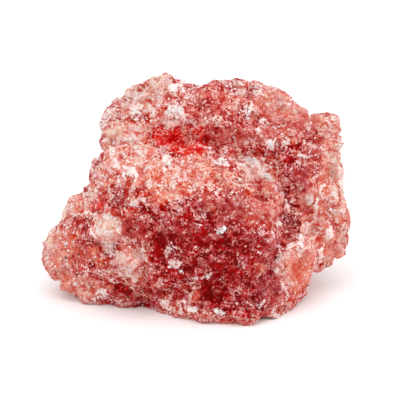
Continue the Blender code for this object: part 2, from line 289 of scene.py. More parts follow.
            (27.5, 0, 0.97, 1.55, 0.4, 10), (27.1, 5, 0.87, 2.9, 0.6, 5), (25, -6.4, 0.68, 1.35, 0.85, -25),
            (25.9, -5.4, 0.58, 0.58, 0.6),
        ),
        Mineral.BLUSH: (
            (21.5, -5.4, 1.94, 1.74, 0.6), (25.2, -4.3, 3.1, 4.26, 0.55), (27.9, -7.9, 0.97, 1.55, 0.85),
            (26.5, -9.9, 1.94, 1.74, 0.8, 20),
        ),
        Mineral.FROST: (
            (26.3, 3.9, 1.55, 4.64, 0.5, 5), (25.5, 7.7, 1.16, 2.71, 0.5),
            (21.5, -2.7, 0.97, 3.1, 0.3, -15), (28.1, -7.2, 0.77, 1.55, 0.5), (21.3, -5.4, 1.16, 1.16, 0.5),
            (27.1, 10.3, 0.97, 1.55, 0.6), (28.1, -9.5, 0.77, 1.55, 0.4),
        ),
        Mineral.ROSE: ((23.8, 3.3, 1.74, 3.1, 0.5),),
        Mineral.MAUVE: ((23.6, 3.1, 1.74, 2.9, 0.5),),
        Mineral.EMBER: ((23.4, -8.3, 0.97, 1.74, 0.35, 15),),
    },
    "right lobe": {
        Mineral.BLUSH: (
            (19.2, -12, 3.29, 4.26, 1, -5), (20.5, -14.5, 1.74, 1.74, 0.6),
        ),
        Mineral.FROST: ((19.9, -9.9, 1.74, 1.16, 0.5),),
        Mineral.ROSE: (
            (18.6, -13.9, 1.35, 1.74, 0.35), (19.4, -11.2, 0.97, 0.97, 0.35),
        ),
        Mineral.MILKY: (
            (19.2, -7.9, 1.74, 0.58, 0.85, 32), (17.2, -8.9, 1.16, 0.77, 0.85, 45),
            (15.7, -10.4, 0.58, 1.55, 0.85, 15), (15.3, -12.6, 0.5, 1.94, 0.9, -5),
            (16.1, -16.4, 0.46, 1.16, 0.6, -12), (16.6, -18, 0.77, 0.77, 0.7),
            (23, -11, 0.66, 1.74, 0.85, -15), (20.1, -12.4, 0.77, 0.39, 0.5, -30),
        ),
        Mineral.RUST: (
            (19, -13.5, 1.94, 2.71, 0.5), (19.2, -17.2, 1.55, 1.35, 0.6, 30), (18, -19.2, 0.97, 0.97, 0.5),
        ),
    },
    "front face": {
        Mineral.FROST: (
            (-18.2, -5.6, 3.39, 3.29, 0.35), (-18, -8.7, 1.74, 1.35, 0.6, -10),
            (-17.8, -8.9, 1.35, 1.16, 0.95, -20), (-15.7, -11, 1.74, 0.97, 0.7, -20),
            (-14.1, -13.5, 2.32, 1.74, 0.5, -35), (-25.7, -4.3, 1.55, 0.58, 0.6, 50),
            (-29.6, -10.8, 1.16, 3.1, 0.35, -10), (-23.6, -18.6, 2.71, 0.77, 0.4, -10),
            (-25.9, -1.7, 1.35, 1.94, 0.8, -30), (-22.1, 1.5, 1.16, 1.16, 0.85),
            (-19.7, 6.8, 1.94, 1.94, 0.4), (-4.8, 0.8, 1.35, 0.77, 0.6), (14.9, -22.3, 1.16, 0.77, 0.5, 30),
        ),
        Mineral.BLUSH: (
            (-18.2, -5.6, 3.48, 3.48, 0.95), (-21.3, -3.1, 1.16, 0.77, 0.7),
            (-13.4, -12, 3.48, 2.71, 0.9, -25), (-12.2, -15.1, 1.94, 1.55, 0.6, -30),
            (-11.8, -16.6, 1.55, 1.16, 0.9), (-27.1, -12, 2.52, 3.1, 0.55),
            (-26.3, -16.4, 2.71, 1.74, 0.6, -25), (-24.4, -1.2, 2.71, 2.32, 1, 30),
            (-21.3, 1.9, 1.55, 1.55, 0.8), (-19.4, 4.8, 2.52, 2.13, 0.35), (-1, -18.8, 1.35, 0.97, 0.8),
            (-3.3, -17, 1.16, 1.35, 0.6), (-1.5, -17, 0.97, 1.55, 0.55, 30),
            (0, -19.2, 1.74, 0.58, 0.6, -35), (-3.9, -20.7, 3.48, 1.16, 0.6, -12),
            (12, -11.6, 2.32, 1.94, 0.35),
        ),
        Mineral.MILKY: (
            (-19.5, -3.5, 1.74, 0.97, 0.6, 25), (-15.9, -5.4, 0.77, 1.55, 0.55),
            (-19.2, -7.4, 1.55, 0.68, 0.6, -15), (-20.7, -6.4, 0.48, 1.55, 0.5, 20),
            (-13.4, -11.2, 0.97, 0.68, 0.7, 20), (-12, -12, 0.77, 0.58, 0.6, -30),
            (-15.1, -11, 0.77, 0.48, 0.5), (-13, -15.7, 0.77, 0.58, 0.5, -45),
            (-6.4, -10.3, 0.87, 1.06, 0.9, -20), (-5.2, -12.2, 1.26, 0.77, 0.95, -15),
            (-4.3, -9.1, 0.97, 0.39, 0.7, -20), (-3.5, -13.9, 0.43, 0.43, 0.9),
            (-7.5, -13.2, 0.39, 0.48, 0.6), (-19.4, -17.8, 0.97, 0.87, 0.9), (-19, -19.5, 1.35, 0.58, 0.55),
            (-19, -14.3, 0.97, 0.58, 0.35), (-21.7, -13.7, 0.77, 0.48, 0.5, -20),
            (-22.8, -2.7, 2.13, 0.39, 0.7, 25), (-24.2, -16.1, 1.16, 0.58, 0.55, -35),
            (-26.5, -8.5, 0.48, 0.48, 0.6), (-24.4, -8.5, 0.58, 0.29, 0.5), (-19.4, 1.7, 0.77, 0.87, 0.6),
            (-13, -0.6, 0.87, 0.87, 0.85), (-10.6, -0.6, 0.77, 0.58, 0.7), (-9.9, -1.7, 0.39, 0.58, 0.8),
            (-1.9, -2.1, 0.58, 0.58, 0.6, 40), (0, -3.5, 1.35, 0.97, 0.35),
            (-0.2, -4.8, 1.35, 0.48, 0.55, -20), (4.3, -5.6, 1.35, 0.74, 0.78),
            (4.8, -7, 0.39, 0.68, 0.6, 40), (1.4, -14.7, 1.16, 0.54, 0.85, 25),
            (-1, -15.3, 0.97, 0.68, 0.6), (-6.8, -20.1, 1.35, 0.87, 0.9, -20),
            (-5.4, -20.9, 0.77, 0.68, 0.7), (-1.2, -21.1, 1.35, 0.87, 0.95, -15),
            (-3.3, -19.9, 1.06, 0.58, 0.75, -15), (-3.5, -21.7, 0.77, 0.58, 0.6),
            (3.5, -21.5, 0.97, 0.62, 0.95, 15), (11.4, -8.7, 0.77, 0.39, 0.7, 20),
            (11.8, -10.1, 0.58, 0.77, 0.7, -30), (7.7, -10.3, 0.43, 0.54, 0.95),
            (7.9, -8.7, 0.48, 0.35, 0.8, 30), (12.2, -19.7, 1.35, 0.68, 0.6, 10),
            (11.8, -14.1, 0.77, 0.39, 0.6, 20), (7.7, -20.1, 0.39, 0.39, 0.6),
        ),
        Mineral.ROSE: (
            (-18.8, -5, 1.16, 0.87, 1, 10), (-17, -6.4, 1.16, 0.58, 0.5, -30),
            (-19.7, -6.2, 0.77, 0.58, 0.45, -40), (-14.1, -12.2, 0.77, 0.58, 0.5, -20),
            (-12.6, -13.2, 0.77, 0.48, 0.5, 20), (-8.1, -14.7, 2.52, 1.94, 0.6, -10),
            (-19, -11.6, 1.16, 0.97, 0.5), (-18.2, -15.5, 1.35, 0.97, 0.6), (-27.1, -7.7, 1.16, 0.97, 0.4),
            (-3.9, -2.9, 1.94, 1.16, 0.4), (7.7, -2.7, 3.87, 1.94, 0.5), (9.3, -1, 3.29, 2.32, 0.5, 10),
            (12, 1.5, 1.94, 1.55, 0.4), (13.9, -19, 1.55, 1.35, 0.3),
        ),
        Mineral.WINE: (
            (-21.9, -5, 0.68, 2.32, 0.6, -10), (-13.9, -5, 0.77, 1.74, 0.4),
            (-20.3, -2.3, 1.55, 0.58, 0.3, 25), (-18.8, -5, 0.77, 0.48, 0.4, 10),
            (-16.1, -17.4, 0.97, 0.58, 0.5), (-22.1, -4.3, 1.55, 0.97, 0.6, 15),
            (-22.3, -8.9, 1.94, 1.35, 0.35), (-15.9, 1.9, 1.55, 0.58, 0.4),
            (-3.9, -1.2, 1.74, 0.77, 0.4, 10), (-0.8, -0.4, 2.13, 0.97, 0.6, 15),
            (-2.9, -5.4, 3.48, 1.74, 0.45, -10), (7.7, -6.8, 2.71, 2.32, 0.6), (0, -12, 2.32, 1.55, 0.5),
            (-5.4, -16.4, 1.74, 1.35, 0.3), (6.4, -17.4, 2.32, 1.74, 0.55), (9.7, -10.6, 1.94, 1.55, 0.5),
            (7.7, -21.9, 3.1, 0.97, 0.4),
        ),
        Mineral.RUST: (
            (-20.1, -7.7, 1.16, 0.48, 0.4, -40), (-23.6, -12, 2.71, 2.32, 0.3),
            (-27.1, -15.5, 2.71, 1.55, 0.25, -20),
        ),
        Mineral.BLOOD: (
            (-7.9, -8.5, 1.35, 2.32, 1, 15), (-8.7, -11, 1.55, 1.35, 1), (-4.6, -7.4, 1.74, 1.16, 0.4, -10),
            (-1.2, -7.9, 1.94, 1.16, 0.75, -20), (-14.9, -17.6, 1.94, 0.97, 1, -10),
            (-21.1, -12.6, 0.97, 0.77, 0.7), (-12.4, 1.7, 2.13, 0.97, 0.4, -10),
            (-10.8, -2.5, 1.35, 0.97, 0.75), (-7.2, -1.5, 1.55, 0.87, 0.8),
            (-9.3, -2.9, 1.94, 0.77, 0.5, -10), (-0.2, -1.4, 0.97, 0.58, 0.7), (2.3, -3.7, 0.97, 1.35, 0.8),
            (3.9, -8.5, 1.94, 1.35, 1), (5.8, -9.7, 1.74, 1.35, 0.4), (2.5, -10.8, 1.55, 1.16, 0.5),
            (3.3, -13.7, 1.74, 1.94, 0.95), (1.4, -17, 1.35, 1.55, 1, -20),
            (2.7, -18.8, 1.55, 0.97, 0.75, -10), (10.1, -17.4, 0.77, 1.74, 0.75),
            (8.7, -19.7, 0.97, 1.16, 0.5),
        ),
        Mineral.EMBER: (
            (-1.5, -9.1, 2.32, 1.35, 0.3, -30), (-2.7, -11, 1.74, 1.55, 0.35, -40),
            (-22.8, -13.2, 1.35, 0.97, 0.35), (-19.4, -1, 2.13, 1.35, 0.6, -10),
            (-13.9, -2.3, 2.13, 0.87, 0.6), (7, -20.9, 1.74, 0.77, 0.2),
        ),
        Mineral.MAUVE: (
            (-15.3, -0.2, 1.55, 1.35, 0.6), (4.3, -1.5, 4.26, 2.32, 0.55),
            (-11.6, -19, 2.52, 0.97, 0.5, -12), (-9.7, -20.1, 1.74, 0.77, 0.4, -10),
            (11.6, -12, 2.71, 2.32, 0.6), (12.4, -16.3, 2.52, 2.32, 0.65), (8.7, -14.5, 2.32, 1.55, 0.5),
        ),
    },
    "small touches": {
        Mineral.RUST: (
            (-19.9, -12.4, 1.55, 1.16, 0.7), (-18, -17, 1.35, 0.97, 0.6), (-24.2, -7.2, 1.55, 1.16, 0.7),
            (-20.9, -10.1, 1.35, 1.16, 0.8), (-8.9, 2.3, 1.16, 0.97, 0.7), (9.7, 1.7, 1.55, 1.16, 0.7),
            (24, -9.9, 1.35, 1.35, 0.75), (-13.4, 0.2, 1.35, 0.97, 0.6), (-7.9, -0.6, 1.35, 0.77, 0.6),
            (17.6, 11.4, 1.35, 0.97, 0.5), (13.7, -22.6, 1.16, 0.77, 0.5), (-20.3, 0.8, 1.16, 0.77, 0.4),
        ),
        Mineral.BLOOD: (
            (-19.9, -12.6, 0.97, 0.77, 0.4), (8.1, -8.3, 1.55, 1.16, 0.6), (-20.9, -10.1, 0.97, 0.77, 0.3),
            (5.6, -20.7, 1.35, 0.97, 0.5),
        ),
        Mineral.WINE: (
            (4.8, -20.7, 1.55, 1.16, 0.8), (-1.5, -1.2, 1.55, 0.97, 0.7), (9.3, -10.4, 1.55, 1.35, 0.8),
            (8.1, -21.9, 1.94, 0.77, 0.7), (7.7, -22.3, 1.94, 0.77, 0.8), (10.4, -22.6, 1.35, 0.58, 0.6),
            (-0.2, -1, 1.55, 0.77, 0.5), (-17.2, -17.8, 1.35, 0.77, 0.5),
        ),
        Mineral.BLUSH: (
            (-16.6, 12.2, 1.35, 1.16, 0.8), (10.4, 19, 1.35, 1.55, 0.8), (-4.6, 1, 1.55, 0.97, 0.7),
            (-6.4, -19.2, 1.35, 0.97, 0.6), (1.7, -1.7, 1.16, 0.77, 0.5), (-10.6, 18.4, 1.55, 1.35, 0.9),
            (14.1, 3.7, 1.16, 0.77, 0.7, -38), (15.1, -12.8, 0.77, 1.94, 0.8),
            (-16.8, -2.3, 1.35, 0.97, 0.6), (10.8, 16.3, 1.16, 0.97, 0.6), (12.8, -13.4, 0.77, 0.77, 0.3),
            (12, 17.8, 1.16, 0.97, 0.5), (-0.2, 18.4, 1.35, 0.97, 0.4), (-7.4, 15.5, 1.16, 0.97, 0.4),
            (-10.6, -18.2, 1.16, 0.77, 0.6), (-11.4, -10.3, 1.16, 1.16, 0.6), (-16.3, 3.7, 1.35, 1.16, 0.8),
            (2.3, 8.1, 1.35, 0.77, 0.6), (11.4, -13.4, 1.16, 0.97, 0.5), (15.7, 17.2, 1.55, 1.16, 0.7),
            (20.3, -3.5, 0.97, 1.35, 0.6), (15.3, -1, 0.97, 1.16, 0.6), (-12.4, 3.9, 1.55, 1.16, 0.7),
            (-2.3, 1.2, 1.35, 0.77, 0.6), (-2.5, 12.4, 0.97, 0.97, 0.5), (20.3, 0, 0.97, 1.55, 0.6),
            (2.3, -1.4, 0.97, 0.77, 0.5), (-18.8, 2.9, 1.35, 1.16, 0.7), (-14.7, 3.7, 1.16, 0.97, 0.6),
            (14.9, 10.8, 1.16, 0.77, 0.5), (1, -15.1, 1.16, 0.77, 0.4), (20.9, -6.2, 1.74, 0.97, 0.4),
            (-12.2, -15.9, 1.16, 0.97, 0.5), (-0.4, 8.9, 1.16, 0.77, 0.5),
        ),
        Mineral.FROST: (
            (-16.6, 12.4, 1.55, 1.35, 0.8), (21.1, -6.4, 1.16, 0.97, 0.5), (-10.4, 18.2, 1.35, 1.16, 0.5),
            (13.9, 4.1, 1.35, 0.97, 0.7, -38), (-10.3, 13.5, 1.55, 0.97, 0.5),
            (15.3, -12.8, 0.58, 1.74, 0.6), (25.2, -2.3, 1.35, 1.35, 0.5), (10.3, 5, 1.55, 0.77, 0.5, -20),
            (7.4, 22.4, 1.35, 0.77, 0.6), (-6.8, 5.4, 1.35, 0.77, 0.5), (-13.2, 11.4, 1.35, 0.97, 0.5),
            (21.7, -6.2, 1.16, 1.16, 0.7), (-7, 14.9, 1.16, 0.97, 0.6), (9.1, 6, 1.35, 0.77, 0.6),
            (27.5, -7.7, 1.16, 0.97, 0.6), (-5, 14.5, 1.16, 0.77, 0.5), (5.2, 8.1, 1.35, 0.77, 0.3),
            (-10.4, 21.9, 1.16, 0.77, 0.5), (-11.4, -10.8, 1.16, 1.16, 0.7), (-11.4, 13.7, 1.16, 0.97, 0.5),
            (-17, 11.2, 1.35, 1.16, 0.6), (9.1, 4.6, 1.55, 0.97, 0.6), (-11.6, -16.3, 1.16, 0.77, 0.4),
            (-13.5, 12, 1.16, 1.16, 0.5), (21.9, -5.6, 1.16, 1.16, 0.5), (-18.2, -5.2, 2.42, 2.42, 0.45),
            (20.9, -6.2, 1.74, 0.97, 0.5), (-17, -12, 1.16, 0.97, 0.5), (14.5, 11.4, 0.97, 0.77, 0.5),
        ),
        Mineral.ROSE: (
            (1.7, -1.7, 1.55, 1.16, 0.6), (3.3, -4.5, 0.97, 0.77, 0.5), (-9.5, -6.2, 1.35, 0.97, 0.6),
            (7.4, -14.7, 1.35, 0.97, 0.5),
        ),
        Mineral.EMBER: (
            (7.7, -22.3, 1.55, 0.58, 0.3), (-11.4, 0.8, 1.16, 0.77, 0.4), (-20.9, -10.1, 1.16, 0.97, 0.4),
            (-18.4, -17.2, 1.16, 0.77, 0.4), (-11.2, -3.1, 1.16, 0.77, 0.4),
        ),
        Mineral.MILKY: (
            (21.1, -6.4, 0.97, 0.58, 0.6), (14.3, 3.5, 1.16, 0.77, 0.8, -38),
            (15.1, 3.1, 0.43, 0.97, 0.9, 50), (15.9, 0.6, 0.39, 0.97, 0.9, 10),
            (16.6, -2.1, 0.43, 0.97, 0.9, 20), (13.2, 4.5, 0.97, 0.68, 0.8, 30),
            (-19.7, -6.2, 0.58, 1.35, 0.3, 20), (-18.2, -3.1, 1.74, 0.58, 0.6),
            (-16.3, -5, 0.58, 1.16, 0.6),
        ),
    },
}

PATCHES = tuple(
    Patch(mineral, *row)
    for region in REGIONS.values()
    for mineral, rows in region.items()
    for row in rows
)


@dataclass(frozen=True)
class Survey:
    """The point from which the stone's face is mapped on a sheet that stands in its middle.

    Attributes:
        middle: The sheet's middle, in millimetres.
        lift_deg: How far the point stands above the level of the middle.
        reach: How far the point is from the middle, in millimetres.
        slack: How far behind another face a place may lie and still be in sight, in millimetres.
    """

    middle: tuple[float, float, float] = (0.58, -3.77, 19.93)
    lift_deg: float = 20.0
    reach: float = 322.5
    slack: float = 1.5

    def towards(self) -> Vector:
        """The direction from the sheet to the survey's point."""
        lift = math.radians(self.lift_deg)
        return Vector((0.0, -math.cos(lift), math.sin(lift)))

    def upwards(self) -> Vector:
        """The sheet's upward direction."""
        lift = math.radians(self.lift_deg)
        return Vector((0.0, math.sin(lift), math.cos(lift)))

    def eye(self) -> Vector:
        """The survey's point, in metres."""
        return (Vector(self.middle) + self.towards() * self.reach) * MM

    def spot(self, across: float, rise: float) -> Vector:
        """The place on the sheet so far right of and above its middle, in metres."""
        offset = Vector((1.0, 0.0, 0.0)) * across + self.upwards() * rise
        return (Vector(self.middle) + offset) * MM

    def strike(self, skin: BVHTree, across: float, rise: float) -> Vector | None:
        """Where the line of sight through a place on the sheet meets the skin.

        Args:
            skin: The tree of the skin's faces.
            across: Millimetres to the right of the sheet's middle.
            rise: Millimetres above it.

        Returns:
            The place on the skin, or None if the line misses it.
        """
        eye = self.eye()
        sight = (self.spot(across, rise) - eye).normalized()
        return skin.ray_cast(eye, sight)[0]

    def sees(self, skin: BVHTree, place: Vector) -> bool:
        """Whether a place on the skin is in sight from the survey's point."""
        eye = self.eye()
        sight = place - eye
        hit = skin.ray_cast(eye, sight.normalized())[0]
        return hit is None or (hit - eye).length > sight.length - self.slack * MM

    def depth(self, place: Vector) -> float:
        """How far a place, in metres, stands in front of the sheet, in millimetres."""
        return (place / MM - Vector(self.middle)).dot(self.towards())


SURVEY = Survey()


@dataclass(frozen=True)
class Swell:
    """A soft rise or hollow of the skin, placed on the survey's sheet.

    Attributes:
        across: Its centre to the right of the sheet's middle, in millimetres.
        rise: Its centre above the sheet's middle, in millimetres.
        wide: Half its width, in millimetres.
        tall: Half its height, in millimetres.
        lift: How far its middle stands out of the skin, or in if negative, in millimetres.
    """

    across: float
    rise: float
    wide: float
    tall: float
    lift: float


SWELLS = tuple(
    Swell(*row)
    for row in (
        (27.1, 14.9, 1.94, 2.13, 1), (27.5, 12.4, 1.16, 0.97, 0.6), (28.3, 11.6, 1.16, 0.77, -0.5),
        (27.9, 13.7, 0.97, 0.97, 0.5), (28.1, 2.5, 1.16, 1.94, 0.6), (24.8, 17.6, 1.94, 1.16, -0.35),
        (13.2, 21.3, 3.48, 1.94, 0.8), (27.7, -1.5, 1.74, 4.64, 0.7), (-19, 10.8, 1.55, 2.52, 0.8),
        (-22.4, 2.9, 1.74, 2.13, -0.5), (28.8, -8.3, 1.55, 2.13, -1), (-18.2, -5.8, 4.64, 4.64, -0.12),
        (-18.2, -5.6, 3.29, 3.29, 0.55), (-5, 21.3, 2.13, 1.16, 0.15), (-5, 16.8, 1.74, 1.55, 0.15),
        (-6.2, 7.5, 1.35, 1.55, 0.15), (-13.9, 5.8, 1.55, 1.55, 0.1), (-13.5, 21.1, 1.94, 1.35, 0.6),
        (-17.8, 18.8, 0.77, 0.97, -0.5), (-9.1, 23.6, 1.16, 0.97, 0.4), (-3.9, 22.8, 0.97, 0.77, 0.5),
        (5.6, 23, 1.74, 0.97, 0.6), (10.1, 22.6, 0.97, 0.77, 0.6), (14.1, 21.7, 0.97, 0.77, 0.3),
        (16.6, 20.9, 0.97, 0.77, -0.5), (20.5, 17.4, 0.97, 0.77, 0.5), (27.7, 14.5, 0.77, 0.97, 0.7),
        (27.7, 3.9, 0.77, 0.97, 0.8), (23, -13.9, 1.16, 1.16, 1.3), (21.5, -17.2, 0.97, 0.77, -0.8),
        (-20.5, 8.1, 0.77, 0.97, 0.7), (-22.6, 2.1, 0.77, 0.77, -0.6), (-28.8, -5.8, 0.77, 1.16, 0.6),
        (-30.6, -9.3, 0.77, 0.77, -0.6), (-28.4, -15.1, 0.97, 0.97, 0.6), (-12.4, 22.1, 0.97, 0.77, 0.5),
        (23, -15.1, 0.77, 0.77, 1), (28.1, 14.1, 0.77, 1.16, 0.6), (12.6, 3.5, 1.55, 1.55, 1.4),
        (13.5, 1.2, 1.35, 1.74, 1.8), (14.1, -1.4, 1.35, 1.74, 1.6),
    )
)


@dataclass(frozen=True)
class Spread:
    """Patches of one mineral strewn over the sides that the survey doesn't see.

    Attributes:
        mineral: What they are made of.
        count: How many there are.
        small: The smallest half width, in millimetres.
        large: The largest half width, in millimetres.
        strength: How fully they cover their middle, from 0 to 1.
    """

    mineral: Mineral
    count: int
    small: float
    large: float
    strength: float


SPREADS = (
    Spread(Mineral.BLUSH, 26, 2.0, 5.5, 0.75),
    Spread(Mineral.WINE, 34, 1.5, 4.5, 0.65),
    Spread(Mineral.MAUVE, 14, 2.0, 4.0, 0.55),
    Spread(Mineral.EMBER, 10, 1.5, 3.5, 0.6),
    Spread(Mineral.BLOOD, 34, 0.8, 2.2, 0.85),
    Spread(Mineral.RUST, 8, 1.0, 2.2, 0.45),
    Spread(Mineral.FROST, 16, 1.2, 3.0, 0.5),
    Spread(Mineral.MILKY, 75, 0.5, 1.8, 0.8),
)


HALF = (0.5, 0.5, 0.5)

# What sets the facets' random tilts and steps apart.
TILT_SALT = 7.0
STEP_SALT = 11.0


@dataclass(frozen=True)
class Grit:
    """One scale of broken surface: small facets, each stepped and tilted its own way.

    Attributes:
        size: The facets' size, in millimetres.
        lift: How far they stand up or sink, in millimetres.
        salt: What sets this scale's pattern apart.
        tilt: How far they tilt, against how far they step.
    """

    size: float
    lift: float
    salt: float
    tilt: float = 1.6

    def at(self, place: Vector) -> float:
        """How far the facet at a place, in millimetres, lifts the skin."""
        spot = place / self.size + Vector((self.salt, self.salt, self.salt))
        seed = noise.voronoi(spot)[1][0]
        tilt = noise.cell_vector(seed * TILT_SALT) - Vector(HALF)
        step = noise.cell(seed * STEP_SALT) - 0.5
        return self.lift * (step + self.tilt * (spot - seed).dot(tilt))


GRITS = (
    Grit(2.6, 0.09, 3.7),
    Grit(1.2, 0.10, 11.3),
    Grit(0.7, 0.06, 23.9),
)


class Sketch:
    """Draws a material's node tree. Sizes are in millimetres on the object's own coordinates."""

    def __init__(self, name: str) -> None:
        """Start an empty material.

        Args:
            name: The material's name.
        """
        self.material = bpy.data.materials.new(name)
        self.material.use_nodes = True
        self.tree = self.material.node_tree
        self.tree.nodes.clear()
        self.here = self.add("ShaderNodeTexCoord").outputs["Object"]

    def add(self, kind: str, **settings: object) -> bpy.types.Node:
        """Add a node and set its properties.

        Args:
            kind: The node's type.
            **settings: Its properties by name.

        Returns:
            The node.
        """
        node = self.tree.nodes.new(kind)
        for name, value in settings.items():
            setattr(node, name, value)
        return node

    def feed(self, socket: Socket, value: object) -> None:
        """Link an output to a socket, or set the socket to a value.

        Args:
            socket: The input socket.
            value: Another node's output, a number or a colour.
        """
        if isinstance(value, Socket):
            self.tree.links.new(value, socket)
        else:
            socket.default_value = value

    def maths(self, operation: str, *values: object) -> Socket:
        """Work out one number from others, from left to right.

        Args:
            operation: The sum to do, by its name on the Math node.
            *values: The numbers or outputs.

        Returns:
            The result's output.
        """
        total = values[0]
        for value in values[1:]:
            node = self.add("ShaderNodeMath", operation=operation)
            self.feed(node.inputs[0], total)
            self.feed(node.inputs[1], value)
            total = node.outputs[0]
        return total

    def vector(self, operation: str, first: object, second: object) -> bpy.types.NodeOutputs:
        """Work out one vector, or one number, from two vectors.

        Args:
            operation: The sum to do, by its name on the Vector Math node.
            first: The first vector or output.
            second: The second.

        Returns:
            The node's outputs.
        """
        node = self.add("ShaderNodeVectorMath", operation=operation)
        self.feed(node.inputs[0], first)
        self.feed(node.inputs[1], second)
        return node.outputs

    def reach(
        self, value: object, low: float, high: float, start: float = 0.0, end: float = 1.0
    ) -> Socket:
        """Ease a number from one range to another, held at both ends.

        Args:
            value: The number.
            low: Where the first range starts.
            high: Where it ends.
            start: The result at the first range's start.
            end: The result at its end.

        Returns:
            The result's output.
        """
        node = self.add("ShaderNodeMapRange", interpolation_type="SMOOTHSTEP")
        for place, item in enumerate((value, low, high, start, end)):
            self.feed(node.inputs[place], item)
        return node.outputs[0]

    def mix(self, share: object, under: object, over: object, blend: str = "MIX") -> Socket:
        """Lay one colour over another.

        Args:
            share: How far the upper colour covers.
            under: The lower colour.
            over: The upper colour.
            blend: How they blend.

        Returns:
            The colour's output.
        """
        node = self.add("ShaderNodeMix", data_type="RGBA", blend_type=blend)
        self.feed(node.inputs[0], share)
        self.feed(node.inputs[6], under)
        self.feed(node.inputs[7], over)
        return node.outputs[2]

    def clouds(self, size: float, detail: float, rough: float) -> bpy.types.NodeOutputs:
        """A soft, cloudy pattern of numbers and of colours.

        Args:
            size: How large its clouds are, in millimetres.
            detail: How many finer layers it has.
            rough: How strong those are.

        Returns:
            Its outputs, from 0 to 1 about 0.5.
        """
        node = self.add("ShaderNodeTexNoise")
        self.feed(node.inputs["Vector"], self.here)
        node.inputs["Scale"].default_value = 1.0 / (size * MM)
        node.inputs["Detail"].default_value = detail
        node.inputs["Roughness"].default_value = rough
        return node.outputs

    def cloud(self, size: float, detail: float = 3.0, rough: float = 0.55) -> Socket:
        """The numbers of a soft, cloudy pattern of a size in millimetres."""
        return self.clouds(size, detail, rough)["Fac"]

    def swerve(self, size: float, amount: float) -> Socket:
        """The object's own coordinates, pushed about so that a pattern on them bends.

        Args:
            size: How large the bends are, in millimetres.
            amount: How far they reach, in millimetres.

        Returns:
            The coordinates.
        """
        push = self.vector("SUBTRACT", self.clouds(size, 2.0, 0.5)["Color"], HALF)[0]
        reach = self.vector("MULTIPLY", push, (2.0 * amount * MM,) * 3)[0]
        return self.vector("ADD", self.here, reach)[0]

    def cells(self, size: float, seat: Socket) -> bpy.types.Node:
        """A pattern of cells like packed grains.

        Args:
            size: The cells' size, in millimetres.
            seat: The coordinates to draw it on.

        Returns:
            The node, whose outputs are each cell's distance and random colour.
        """
        node = self.add("ShaderNodeTexVoronoi")
        self.feed(node.inputs["Vector"], seat)
        node.inputs["Scale"].default_value = 1.0 / (size * MM)
        return node

    def seams(self, size: float, seat: Socket) -> Socket:
        """How far each place is from the nearest edge between two cells.

        Args:
            size: The cells' size, in millimetres.
            seat: The coordinates to draw it on.

        Returns:
            The distance, as a share of the cells' size.
        """
        node = self.cells(size, seat)
        node.feature = "DISTANCE_TO_EDGE"
        return node.outputs["Distance"]

    def chance(self, node: bpy.types.Node, channel: int) -> Socket:
        """A random number for each cell.

        Args:
            node: The cells.
            channel: Which of their three random numbers.

        Returns:
            The number, from 0 to 1.
        """
        parts = self.add("ShaderNodeSeparateColor")
        self.feed(parts.inputs[0], node.outputs["Color"])
        return parts.outputs[channel]

    def centred(self, value: Socket, reach: float) -> Socket:
        """A value from 0 to 1 turned into one about 0, whose ends are so far apart."""
        return self.maths("MULTIPLY", self.maths("SUBTRACT", value, 0.5), reach)

    def mark(self, name: str) -> Socket:
        """The value of an attribute that is kept on the mesh."""
        return self.add("ShaderNodeAttribute", attribute_name=name).outputs["Fac"]

    def held(self, *minerals: Mineral) -> Socket:
        """How much a place holds of the mineral that it holds most of, out of some."""
        return self.maths("MAXIMUM", *[self.mark(mineral.value) for mineral in minerals])

    def paint(self, name: str) -> Socket:
        """The colour of an attribute that is kept on the mesh."""
        return self.add("ShaderNodeAttribute", attribute_name=name).outputs["Color"]

    def bump(
        self, height: Socket, depth: float, strength: float, under: Socket | None = None
    ) -> Socket:
        """Raise a pattern on the surface.

        Args:
            height: The pattern, from 0 to 1.
            depth: How high it stands, in millimetres.
            strength: How strongly it shows.
            under: A pattern already raised, below it.

        Returns:
            The normals.
        """
        node = self.add("ShaderNodeBump")
        node.inputs["Strength"].default_value = strength
        node.inputs["Distance"].default_value = depth * MM
        self.feed(node.inputs["Height"], height)
        if under is not None:
            self.feed(node.inputs["Normal"], under)
        return node.outputs["Normal"]

    def facets(
        self, cells: bpy.types.Node, seat: Socket, slope: float, under: Socket | None = None
    ) -> Socket:
        """Tilt each cell of a pattern its own way, as the broken faces of packed grains are.

        Args:
            cells: The pattern.
            seat: The coordinates that it is drawn on.
            slope: How steeply the cells tilt at most.
            under: A pattern already raised, below it.

        Returns:
            The normals.
        """
        apart = self.vector("SUBTRACT", seat, cells.outputs["Position"])[0]
        tilt = self.vector("SUBTRACT", cells.outputs["Color"], HALF)[0]
        height = self.vector("DOT_PRODUCT", apart, tilt)["Value"]
        return self.bump(height, slope / MM, 1.0, under)

    def finish(self, constants: dict[str, object], linked: dict[str, Socket]) -> bpy.types.Material:
        """Close the tree with the surface's shader.

        Args:
            constants: The shader's inputs that are the same all over.
            linked: The inputs that patterns drive.

        Returns:
            The material.
        """
        shader = self.add("ShaderNodeBsdfPrincipled")
        for name, value in constants.items():
            shader.inputs[name].default_value = value
        for name, value in linked.items():
            self.feed(shader.inputs[name], value)
        output = self.add("ShaderNodeOutputMaterial")
        self.feed(output.inputs["Surface"], shader.outputs["BSDF"])
        return self.material


@dataclass(frozen=True)
class Layer:
    """How one mineral lies over those below it.

    Attributes:
        mineral: The mineral.
        cover: How fully it hides what is below it.
        fray: How far its edge breaks up, against the others.
        held: What share of its patches' strength it keeps.
    """

    mineral: Mineral
    cover: float
    fray: float = 1.0
    held: float = 1.0


